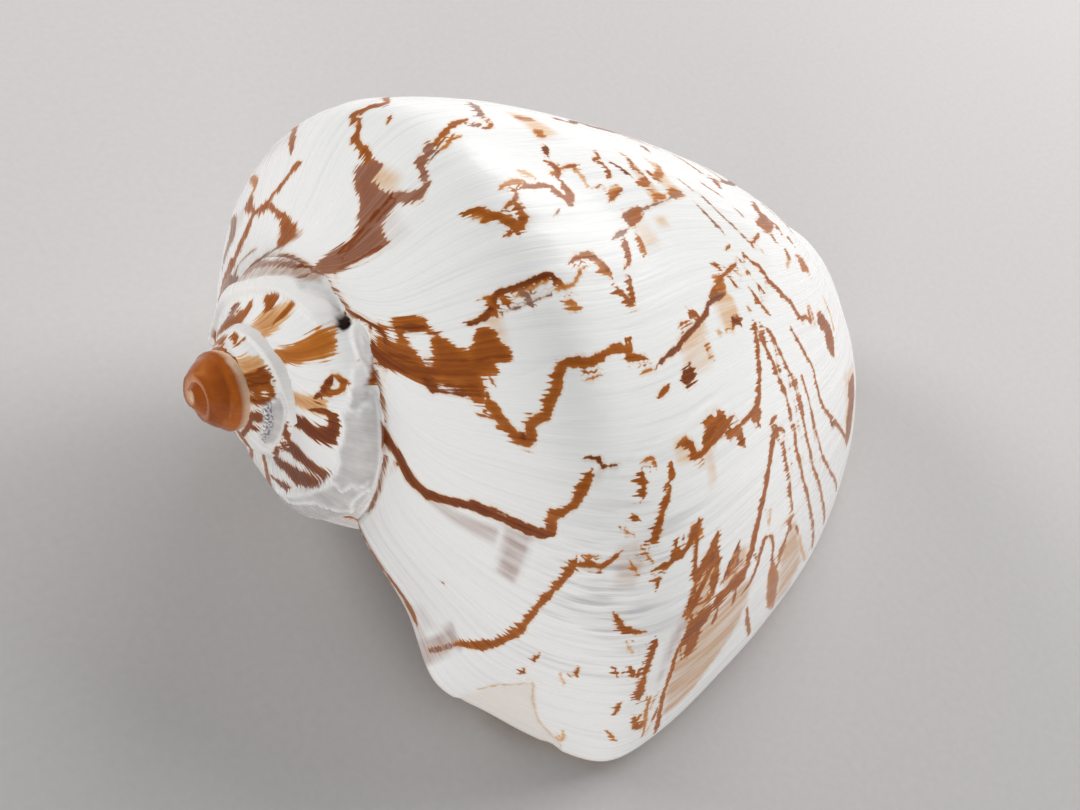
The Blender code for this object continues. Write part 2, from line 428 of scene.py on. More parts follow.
LIP_MARKS = (
    Stroke(0.45, RUSSET, ((-1, 4), (-1, 58)), 0.2),
    Stroke(1.1, RUSSET, ((-2, 56), (-4, 80), (-4, 94), (-2, 106)), 0.3),
    Stroke(0.3, TAN, ((-31, 228), (-20, 241), (-10, 262), (-1, 300)), 0.1),
    Stroke(0.2, TAN, ((-31, 226), (-20, 200), (-12, 192)), 0.1),
    Stroke(0.75, BROWN, (
        (-110, 212), (-88, 186), (-80, 180), (-72, 177), (-63, 177), (-38, 156), (-31, 146), (-24, 139),
    )),
    Stroke(1.25, BROWN, ((-47, 163), (-38, 156), (-29, 144))),
    Stroke(0.5, MAUVE, ((-24, 139), (-4, 135)), 0.5),
    Stroke(0.8, BROWN, ((-108, 208), (-107, 235), (-103, 256), (-106, 285))),
    Stroke(0.4, ORANGE, ((-112, 225), (-110, 243))),
    Stroke(0.3, ORANGE, ((-117, 292), (-112, 308))),
    Stroke(0.5, BROWN, ((-120, 312), (-118, 318))),
    Stroke(0.35, ORANGE, ((-141, 336), (-140, 348), (-138, 358), (-135, 362))),
    Stroke(0.9, BROWN, ((-103, 344), (-102, 354), (-107, 358), (-119, 384)), 1.4),
    Stroke(0.6, BROWN, ((-122, 376), (-122, 386), (-124, 392), (-128, 392))),
    Stroke(0.9, BROWN, ((-135, 333), (-130, 334), (-127, 332)), 1.8),
    Stroke(0.35, ORANGE, ((-99, 308), (-93, 320))),
    Stroke(0.35, ORANGE, ((-100, 333), (-95, 342))),
    Stroke(0.6, BROWN, ((-84, 353), (-83, 360), (-81, 358))),
    Stroke(0.8, BROWN, ((-89, 352), (-87, 375), (-88, 388), (-87, 398), (-88, 410), (-95, 430))),
    Stroke(0.5, BROWN, ((-88, 386), (-94, 390))),
    Stroke(0.6, BROWN, ((-75, 295), (-68, 310), (-66, 317), (-64, 325), (-62, 343))),
    Stroke(0.5, BROWN, ((-49, 211), (-47, 211))),
    Stroke(0.6, BROWN, ((-38, 209), (-36, 209))),
    Stroke(0.5, BROWN, ((-47, 267), (-45, 269))),
    Stroke(0.4, TAN, ((-41, 253), (-39, 257))),
    Stroke(0.4, TAN, ((-57, 326), (-55, 330))),
    Stroke(0.5, BROWN, ((-46, 316), (-44, 320))),
    Stroke(0.4, TAN, ((-8, 295), (-6, 297))),
    Stroke(0.9, BROWN, ((-45, 337), (-42, 343))),
    Stroke(0.7, BROWN, ((-54, 364), (-50, 361), (-36, 357), (-28, 361)), 1.2),
    Stroke(0.4, BROWN, ((-28, 338), (-23, 336))),
    Stroke(0.4, BROWN, ((-18, 365), (-12, 375))),
    Stroke(0.4, ORANGE, ((-13, 340), (-10, 348))),
    Stroke(0.25, GREY, ((-55, 81), (-55, 84)), 0.0),
)

SUTURE_MARKS = (
    Stroke(1.1, DARK, (
        (-161, 0), (-147, 3), (-117, 24), (-116, 36), (-128, 74), (-129, 90), (-129, 104), (-125, 160),
        (-126, 170),
    ), 0.5),
    Stroke(0.45, DARK, ((-121, 26), (-119, 36), (-131, 74), (-132, 90), (-132, 104), (-128, 162)), 0.3),
    Stroke(1.15, BROWN, ((-126, 170), (-134, 166), (-137, 172), (-141, 196), (-153, 222)), 1.3),
    Stroke(0.3, DARK, ((-163, 218), (-159, 244), (-154, 250), (-150, 278)), 0.4),
)

V_MARKS = (
    Stroke(0.85, BROWN, (
        (-204, 92), (-200, 93), (-190, 102), (-188, 108), (-184, 112), (-180, 120), (-177, 130),
        (-180, 136), (-187, 136), (-190, 144), (-190, 158), (-199, 170), (-200, 178), (-209, 192),
        (-211, 200), (-211, 210), (-208, 234), (-205, 244), (-203, 260), (-200, 304), (-198, 320),
        (-192, 352),
    )),
    Stroke(1.5, DARK, ((-181, 126), (-178, 130)), 1.2),
    Stroke(0.9, BROWN, ((-194, 358), (-189, 345), (-182, 380))),
    Stroke(0.35, ORANGE, ((-198, 240), (-195, 267))),
    Stroke(0.4, BROWN, ((-193, 80), (-190, 100))),
    Stroke(1.3, BROWN, ((-161, 396), (-161, 412)), 1.2),
    Stroke(0.4, ORANGE, ((-177, 368), (-176, 380), (-173, 397))),
    Stroke(0.9, ORANGE, ((-234, 248), (-231, 262))),
    Stroke(0.7, ORANGE, ((-230, 252), (-228, 266))),
    Stroke(0.7, BROWN, ((-218, 372), (-214, 380), (-209, 386), (-207, 394), (-217, 405)), 1.2),
)

# A thin russet line along the last whorl's suture: painted shade in the suture's crevice.
CREVICE_SHADE_MARKS = (
    Stroke(0.34, RUSSET, ((-640, 3), (-40, 2)), 0.2),
)

BLOTCH_MARKS = (
    Stroke(0.4, DARK, ((-290, 2), (-262, 16), (-254, 18), (-246, 16)), 0.2),
    Stroke(0.7, DARK, ((-250, 4), (-240, 6), (-231, 12), (-226, 18), (-220, 38), (-205, 42)), 0.3),
    Stroke(0.35, DARK, ((-230, 40), (-226, 90), (-227, 110), (-225, 128)), 0.2),
    Stroke(0.7, DARK, ((-228, 8), (-223, 22), (-220, 40), (-218, 88)), 0.2),
    Stroke(0.8, DARK, ((-259, 31), (-252, 54)), 0.2),
    Stroke(0.5, DARK, ((-240, 4), (-232, 30)), 0.2),
    Stroke(0.35, BROWN, ((-201, 88), (-194, 94)), 0.3),
    Stroke(0.3, BROWN, ((-193, 80), (-190, 104)), 0.3),
    Stroke(0.3, BROWN, ((-216, 98), (-212, 101)), 0.2),
    Stroke(0.35, DARK, ((-211, 46), (-210, 60), (-210, 84)), 0.2),
    Stroke(0.3, DARK, ((-206, 48), (-205, 62), (-205, 86)), 0.2),
    Stroke(0.5, BROWN, ((-258, 30), (-244, 30)), 0.4),
    Stroke(0.55, DARK, (
        (-249, 94), (-248, 100), (-250, 118), (-252, 126), (-256, 130), (-258, 138), (-258, 150),
        (-252, 228), (-250, 236), (-245, 248),
    )),
    Stroke(0.3, BROWN, ((-259, 118), (-258, 160)), 0.4),
    Stroke(0.9, BROWN, ((-256, 127), (-251, 128)), 1.0),
    Stroke(0.7, BROWN, ((-255, 145), (-251, 148)), 0.7),
    Stroke(0.3, ORANGE, ((-252, 160), (-253, 175), (-249, 232)), 0.2),
    Stroke(0.7, MAUVE, ((-256, 172), (-250, 181), (-246, 181)), 0.6),
    Stroke(0.35, ORANGE, ((-243, 236), (-238, 280), (-240, 310), (-239, 320)), 0.4),
    Stroke(0.45, BROWN, ((-246, 245), (-243, 249)), 0.6),
    Stroke(0.4, BROWN, ((-247, 290), (-245, 320), (-242, 345), (-232, 365), (-226, 372)), 1.3),
    Stroke(0.6, ORANGE, ((-237, 350), (-226, 368)), 1.0),
    # A grey line in the sunken groove here: painted shade in the groove.
    Stroke(0.15, GREY, ((-248, 140), (-245, 200), (-243, 220)), 0.0),
)

MIDDLE_MARKS = (
    Stroke(0.8, BROWN, (
        (-305, 160), (-301, 178), (-297, 185), (-291, 203), (-280, 222), (-279, 232), (-280, 240),
        (-282, 247), (-287, 250),
    ), 1.6),
    Stroke(0.4, ORANGE, ((-300, 163), (-298, 176))),
    Stroke(0.4, BROWN, ((-295, 174), (-293, 188))),
    Stroke(0.4, BROWN, ((-281, 198), (-280, 212))),
    Stroke(0.5, BROWN, ((-292, 222), (-291, 250), (-292, 262), (-295, 265))),
    Stroke(0.5, ORANGE, ((-301, 245), (-298, 280), (-294, 300))),
    Stroke(0.6, BROWN, ((-292, 288), (-291, 300), (-288, 310), (-286, 330), (-282, 350))),
    Stroke(0.35, TAN, ((-297, 318), (-293, 326))),
    Stroke(0.8, BROWN, ((-279, 352), (-272, 360), (-269, 366), (-269, 372), (-271, 378), (-278, 384))),
    Stroke(0.9, BROWN, ((-283, 385), (-284, 392), (-287, 398), (-290, 398), (-292, 394))),
    Stroke(0.5, ORANGE, ((-287, 372), (-286, 385))),
    Stroke(0.6, DARK, ((-297, 405), (-302, 420))),
    Stroke(0.5, ORANGE, ((-286, 398), (-285, 420))),
    Stroke(0.65, BROWN, ((-285, 420), (-284, 446))),
    Stroke(0.5, TAN, ((-281, 433), (-275, 434), (-271, 430)), 0.9),
    Stroke(0.2, GREY, ((-269, 317), (-269, 330)), 0.0),
    Stroke(0.3, BROWN, ((-267, 440), (-267, 456))),
    Stroke(0.4, BROWN, ((-257, 450), (-261, 490))),
    Stroke(0.4, ORANGE, ((-262, 462), (-262, 486))),
    Stroke(0.6, BROWN, ((-271, 485), (-272, 490), (-276, 496), (-281, 497)), 1.2),
    Stroke(0.8, BROWN, ((-285, 492), (-287, 504), (-290, 508)), 1.0),
    Stroke(0.6, DARK, ((-280, 520), (-273, 526)), 1.0),
    Stroke(0.6, BROWN, ((-263, 528), (-265, 545), (-267, 550), (-270, 553)), 1.1),
    Stroke(0.6, BROWN, ((-277, 545), (-283, 555), (-286, 557)), 1.1),
    Stroke(0.4, TAN, ((-292, 555), (-290, 557))),
    Stroke(0.8, ORANGE, ((-270, 568), (-272, 578), (-279, 592), (-284, 598)), 1.2),
    Stroke(0.4, BROWN, ((-275, 567), (-268, 568), (-266, 577)), 0.9),
    Stroke(0.7, TAN, ((-287, 591), (-284, 592))),
    Stroke(0.3, MAUVE, ((-246, 500), (-251, 555), (-259, 592)), 0.2),
    Stroke(0.45, BROWN, ((-245, 460), (-247, 496))),
    Stroke(0.4, BROWN, ((-240, 458), (-243, 495))),
    Stroke(0.5, MAUVE, ((-239, 415), (-239, 448))),
    Stroke(0.6, BROWN, ((-224, 409), (-224, 416), (-226, 424), (-234, 433)), 1.0),
    Stroke(1.0, ORANGE, ((-231, 462), (-226, 460)), 0.8),
)

FAR_MARKS = (
    Stroke(0.6, ORANGE, ((-343, 203), (-342, 220), (-343, 232), (-340, 258))),
    Stroke(0.85, BROWN, ((-349, 206), (-349, 265), (-348, 300), (-346, 326))),
    Stroke(0.45, MAUVE, ((-340, 318), (-338, 344))),
    Stroke(0.6, BROWN, ((-333, 340), (-332, 352), (-334, 372))),
    Stroke(0.5, ORANGE, ((-338, 370), (-338, 382))),
    Stroke(0.7, MAUVE, ((-345, 368), (-345, 385), (-356, 410), (-362, 420)), 1.4),
    # A grey line in the sunken groove here: painted shade in the groove.
    Stroke(0.25, GREY, ((-344, 170), (-344, 197)), 0.0),
    Stroke(0.35, DARK, ((-352, 20), (-348, 40), (-348, 98)), 0.2),
    Stroke(0.3, MAROON, ((-345, 24), (-343, 44), (-343, 96)), 0.2),
    Stroke(0.3, MAROON, ((-340, 14), (-331, 30), (-324, 58)), 0.2),
    Stroke(0.7, BROWN, (
        (-382, 118), (-387, 125), (-397, 131), (-402, 137), (-405, 145), (-406, 160), (-411, 180),
    )),
    Stroke(0.75, BROWN, (
        (-414, 170), (-418, 190), (-415, 198), (-409, 230), (-402, 247), (-401, 260), (-402, 270),
        (-412, 310), (-410, 330), (-414, 350),
    )),
    Stroke(0.8, BROWN, ((-387, 196), (-388, 206)), 0.8),
    Stroke(0.7, BROWN, ((-446, 34), (-460, 37), (-485, 52), (-516, 55)), 0.8),
    Stroke(0.6, BROWN, ((-488, 58), (-468, 70), (-457, 85)), 0.9),
    Stroke(1.6, BROWN, ((-458, 86), (-453, 91)), 0.8),
    Stroke(0.9, BROWN, ((-470, 118), (-478, 160), (-481, 190), (-486, 205), (-484, 225)), 0.9),
    Stroke(1.1, BROWN, ((-515, 55), (-522, 46), (-530, 40), (-560, 31), (-590, 37), (-622, 54)), 0.5),
    Stroke(1.2, MAUVE, ((-562, 10), (-615, 35), (-625, 42), (-642, 60)), 0.4),
    Stroke(0.9, ORANGE, ((-524, 87), (-520, 93), (-519, 102), (-536, 140)), 0.6),
    Stroke(0.2, GREY, ((-500, 15), (-560, 19), (-600, 28)), 0.0),
    # A thin grey line along the suture: painted shade in its crevice.
    Stroke(0.2, GREY, ((-482, 3), (-440, 9)), 0.0),
)

WING_MARKS = (
    Stroke(0.7, MAROON, (
        (-174, 411), (-174, 454), (-176, 467), (-178, 500), (-182, 525), (-186, 534), (-189, 569),
    ), 0.5),
    Stroke(0.5, BROWN, ((-190, 540), (-200, 578), (-205, 603))),
    Stroke(1.2, DARK, ((-159, 448), (-157, 468)), 1.2),
    Stroke(1.1, DARK, ((-173, 566), (-170, 573)), 1.0),
    Stroke(0.8, ORANGE, ((-169, 553), (-168, 556))),
    Stroke(0.7, TAN, ((-170, 533), (-169, 537))),
    Stroke(0.5, BROWN, ((-183, 468), (-183, 485))),
    Stroke(0.9, BROWN, ((-186, 500), (-183, 506))),
    Stroke(0.8, BROWN, ((-207, 568), (-206, 575))),
    Stroke(0.8, BROWN, ((-194, 587), (-192, 591))),
    Stroke(0.5, ORANGE, ((-177, 594), (-176, 597))),
    Stroke(0.9, BROWN, (
        (-134, 411), (-134, 424), (-129, 434), (-123, 440), (-122, 451), (-125, 500), (-127, 516),
    ), 1.3),
    Stroke(0.9, BROWN, ((-134, 466), (-129, 490)), 1.2),
    Stroke(0.6, BROWN, ((-134, 493), (-126, 503)), 1.6),
    Stroke(0.8, BROWN, (
        (-120, 502), (-120, 516), (-123, 556), (-126, 566), (-141, 582), (-148, 585), (-152, 590),
        (-166, 595),
    ), 1.3),
    Stroke(0.8, BROWN, ((-118, 520), (-112, 525)), 1.2),
    Stroke(0.8, BROWN, ((-120, 555), (-116, 557)), 1.0),
    Stroke(0.5, ORANGE, ((-117, 445), (-117, 449))),
    Stroke(0.5, BROWN, ((-108, 582), (-64, 522), (-58, 510)), 0.9),
    Stroke(0.3, TAN, ((-70, 555), (-65, 552))),
    Stroke(0.55, BROWN, ((-98, 591), (-90, 590), (-60, 593), (-50, 585), (-40, 570)), 1.0),
    Stroke(0.7, BROWN, ((-113, 588), (-112, 576)), 0.9),
    Stroke(0.9, BROWN, ((-107, 585), (-104, 594)), 0.9),
)

FLAME_MARKS = (
    Stroke(0.5, BROWN, ((-92, 427), (-76, 420), (-71, 420)), 0.8),
    Stroke(0.8, BROWN, ((-71, 421), (-83, 462)), 0.8),
    Stroke(0.6, BROWN, ((-78, 458), (-70, 461), (-63, 457), (-58, 448)), 0.8),
    Stroke(0.6, BROWN, ((-59, 428), (-58, 440), (-60, 450)), 0.6),
    Stroke(0.6, BROWN, ((-46, 404), (-40, 400), (-24, 398), (-2, 409)), 0.3),
    Stroke(0.45, ORANGE, ((-26, 377), (-20, 379), (-6, 388)), 0.3),
    Stroke(0.8, BROWN, ((-53, 416), (-53, 446)), 0.9),
    Stroke(0.6, BROWN, ((-46, 426), (-41, 424), (-38, 416)), 0.8),
    Stroke(0.7, BROWN, ((-55, 462), (-54, 474), (-57, 486), (-53, 504)), 0.8),
    Stroke(0.5, BROWN, ((-48, 461), (-43, 456)), 0.5),
    Stroke(0.8, BROWN, ((-49, 490), (-44, 489)), 0.6),
    Stroke(0.3, DARK, ((-60, 466), (-67, 486), (-70, 498)), 0.4),
    Stroke(0.7, ORANGE, ((-66, 492), (-62, 486), (-60, 476)), 0.8),
    Stroke(1.0, BROWN, ((-56, 510), (-71, 532)), 0.9),
    Stroke(1.1, BROWN, ((-108, 582), (-64, 522), (-58, 510)), 0.6),
    Stroke(1.0, BROWN, ((-57, 412), (-63, 424), (-67, 436), (-70, 450)), 0.6),
    Stroke(0.6, BROWN, ((-44, 505), (-45, 516), (-50, 526), (-60, 541)), 0.8),
    Stroke(0.5, BROWN, ((-60, 548), (-57, 555), (-50, 557), (-46, 555), (-40, 560)), 0.6),
    Stroke(0.7, BROWN, ((-31, 519), (-24, 524), (-8, 540)), 0.4),
    Stroke(0.5, BROWN, ((-49, 599), (-40, 609)), 0.3),
    Stroke(0.5, TAN, ((-38, 611), (-28, 618), (-8, 640)), 0.3),
    Stroke(0.45, ORANGE, ((-57, 575), (-57, 588), (-55, 598)), 0.6),
)

FRONT_MARKS = (
    Stroke(0.55, BROWN, (
        (-165, 606), (-154, 602), (-147, 603), (-141, 607), (-134, 607), (-121, 613), (-107, 612),
        (-100, 614), (-90, 611), (-70, 617), (-50, 628), (-25, 646), (-8, 656),
    ), 0.8),
    Stroke(0.5, BROWN, ((-188, 611), (-180, 614), (-171, 624)), 0.7),
    Stroke(0.5, BROWN, (
        (-162, 612), (-158, 618), (-133, 627), (-127, 631), (-90, 632), (-70, 638), (-10, 682),
    ), 0.7),
    Stroke(0.4, BROWN, ((-190, 626), (-184, 630)), 0.6),
    Stroke(0.4, BROWN, ((-125, 648), (-90, 650), (-70, 658), (-50, 677), (-40, 690), (-20, 708)), 0.6),
    Stroke(0.5, BROWN, (
        (-156, 654), (-122, 673), (-115, 670), (-105, 670), (-95, 674), (-70, 704), (-50, 725),
    ), 0.8),
    Stroke(1.2, DARK, ((-80, 686), (-78, 690)), 0.8),
    Stroke(0.5, BROWN, (
        (-206, 632), (-203, 642), (-191, 647), (-186, 655), (-179, 660), (-175, 669), (-162, 675),
        (-159, 680), (-160, 690), (-152, 698),
    ), 0.9),
    Stroke(0.4, ORANGE, ((-166, 704), (-152, 704)), 0.6),
    Stroke(0.35, TAN, ((-161, 750), (-147, 752), (-133, 747)), 0.6),
    Stroke(0.9, BROWN, ((-221, 649), (-219, 650)), 0.6),
    Stroke(0.55, BROWN, ((-221, 654), (-224, 660), (-228, 673)), 0.8),
    Stroke(0.9, BROWN, ((-231, 690), (-240, 724)), 1.2),
    Stroke(1.3, BROWN, ((-237, 685), (-240, 700), (-245, 712), (-253, 712), (-260, 722)), 1.4),
    Stroke(0.3, MAUVE, ((-250, 600), (-234, 608), (-229, 613)), 0.5),
    Stroke(0.3, MAUVE, ((-258, 621), (-243, 628), (-222, 646)), 0.5),
    Stroke(0.3, MAUVE, ((-270, 610), (-262, 614)), 0.5),
    Stroke(0.25, MAUVE, ((-250, 664), (-243, 668)), 0.4),
    Stroke(0.25, MAUVE, ((-275, 645), (-270, 648), (-262, 657)), 0.4),
    Stroke(1.6, BROWN, ((-283, 682), (-279, 678)), 1.2),
    Stroke(0.9, MAUVE, ((-312, 620), (-307, 618)), 0.9),
    Stroke(0.5, BROWN, ((-216, 600), (-218, 610)), 0.6),
    Stroke(0.4, BROWN, ((-209, 613), (-207, 616)), 0.6),
    Stroke(0.4, BROWN, ((-201, 618), (-199, 620)), 0.6),
    Stroke(0.4, BROWN, ((-213, 626), (-211, 627)), 0.6),
    Stroke(0.4, BROWN, ((-215, 659), (-213, 661)), 0.6),
    Stroke(1.1, BROWN, ((-225, 699), (-223, 700)), 1.0),
    Stroke(1.2, BROWN, ((-210, 709), (-206, 706)), 1.0),
    Stroke(0.6, TAN, ((-205, 703), (-201, 694)), 0.8),
    Stroke(1.4, BROWN, ((-222, 741), (-220, 742)), 1.0),
    Stroke(1.0, BROWN, ((-236, 728), (-232, 729)), 1.0),
    Stroke(0.6, TAN, ((-198, 601), (-198, 606)), 0.6),
)

SPIRE_MARKS = (
    Stroke(1.3, BROWN, ((-1560, 18), (-1470, 12), (-1442, 22), (-1434, 30), (-1432, 38)), 0.3),
    Stroke(0.8, MAUVE, ((-1590, 28), (-1565, 20), (-1540, 20), (-1500, 25), (-1480, 38)), 0.3),
    Stroke(0.7, MAROON, ((-1500, 38), (-1480, 40)), 0.4),
    Stroke(0.9, BROWN, ((-1348, 30), (-1346, 55), (-1348, 82)), 0.3),
    Stroke(0.9, MAROON, ((-1385, 190), (-1355, 245), (-1335, 300)), 0.3),
    Stroke(0.5, MAUVE, ((-1360, 205), (-1345, 225), (-1325, 280)), 0.3),
    Stroke(0.6, MAUVE, ((-1365, 172), (-1376, 128)), 0.5),
    Stroke(0.9, MAROON, ((-1286, 208), (-1265, 255), (-1255, 290)), 0.3),
    Stroke(0.5, DARK, ((-1236, 178), (-1234, 265)), 0.2),
    Stroke(0.9, MAROON, (
        (-1172, 180), (-1155, 200), (-1148, 194), (-1144, 198), (-1132, 228), (-1122, 246), (-1110, 280),
    ), 0.3),
    Stroke(0.7, ORANGE, ((-1141, 194), (-1128, 226), (-1117, 245)), 0.3),
    Stroke(0.6, DARK, ((-1096, 170), (-1080, 180)), 0.4),
    Stroke(0.8, DARK, ((-1197, 42), (-1204, 56), (-1212, 62), (-1228, 84)), 0.2),
    Stroke(0.9, BROWN, ((-1228, 84), (-1217, 110)), 0.2),
    Stroke(0.6, BROWN, ((-1217, 110), (-1208, 98), (-1199, 50)), 0.2),
    Stroke(0.5, DARK, ((-1172, 30), (-1176, 50), (-1172, 68), (-1163, 77)), 0.2),
    Stroke(0.35, MAROON, ((-2455, 232), (-2405, 230)), 0.3),
    Stroke(0.55, BROWN, ((-2385, 84), (-2383, 124)), 0.3),
    Stroke(0.35, DARK, ((-2266, 14), (-2262, 44), (-2272, 108)), 0.2),
    Stroke(0.35, DARK, ((-2246, 12), (-2244, 44), (-2250, 118)), 0.2),
    Stroke(0.35, DARK, ((-2228, 12), (-2232, 84), (-2230, 122)), 0.2),
    Stroke(0.4, DARK, ((-2172, 14), (-2182, 76), (-2192, 100)), 0.2),
    Stroke(0.6, MAROON, ((-2190, 195), (-2162, 250), (-2150, 290)), 0.3),
    Stroke(0.7, MAROON, ((-2175, 192), (-2140, 195), (-2100, 260)), 0.3),
    Stroke(0.4, ORANGE, ((-2146, 204), (-2124, 248)), 0.3),
    Stroke(0.6, MAROON, ((-2115, 155), (-2065, 190), (-2055, 210), (-2045, 245)), 0.3),
    Stroke(0.5, MAROON, ((-2055, 160), (-2008, 245)), 0.3),
    Stroke(0.5, MAROON, ((-2030, 145), (-2000, 170), (-1955, 228)), 0.3),
    Stroke(0.7, MAROON, ((-2110, 12), (-2000, 14), (-1940, 24)), 0.3),
    Stroke(0.35, BROWN, ((-2326, 222), (-2322, 242)), 0.3),
    Stroke(0.35, BROWN, ((-2292, 208), (-2284, 270)), 0.3),
    Stroke(0.4, BROWN, ((-2262, 198), (-2242, 226)), 0.3),
    Stroke(0.25, GREY, ((-2252, 186), (-2190, 192)), 0.4),
)

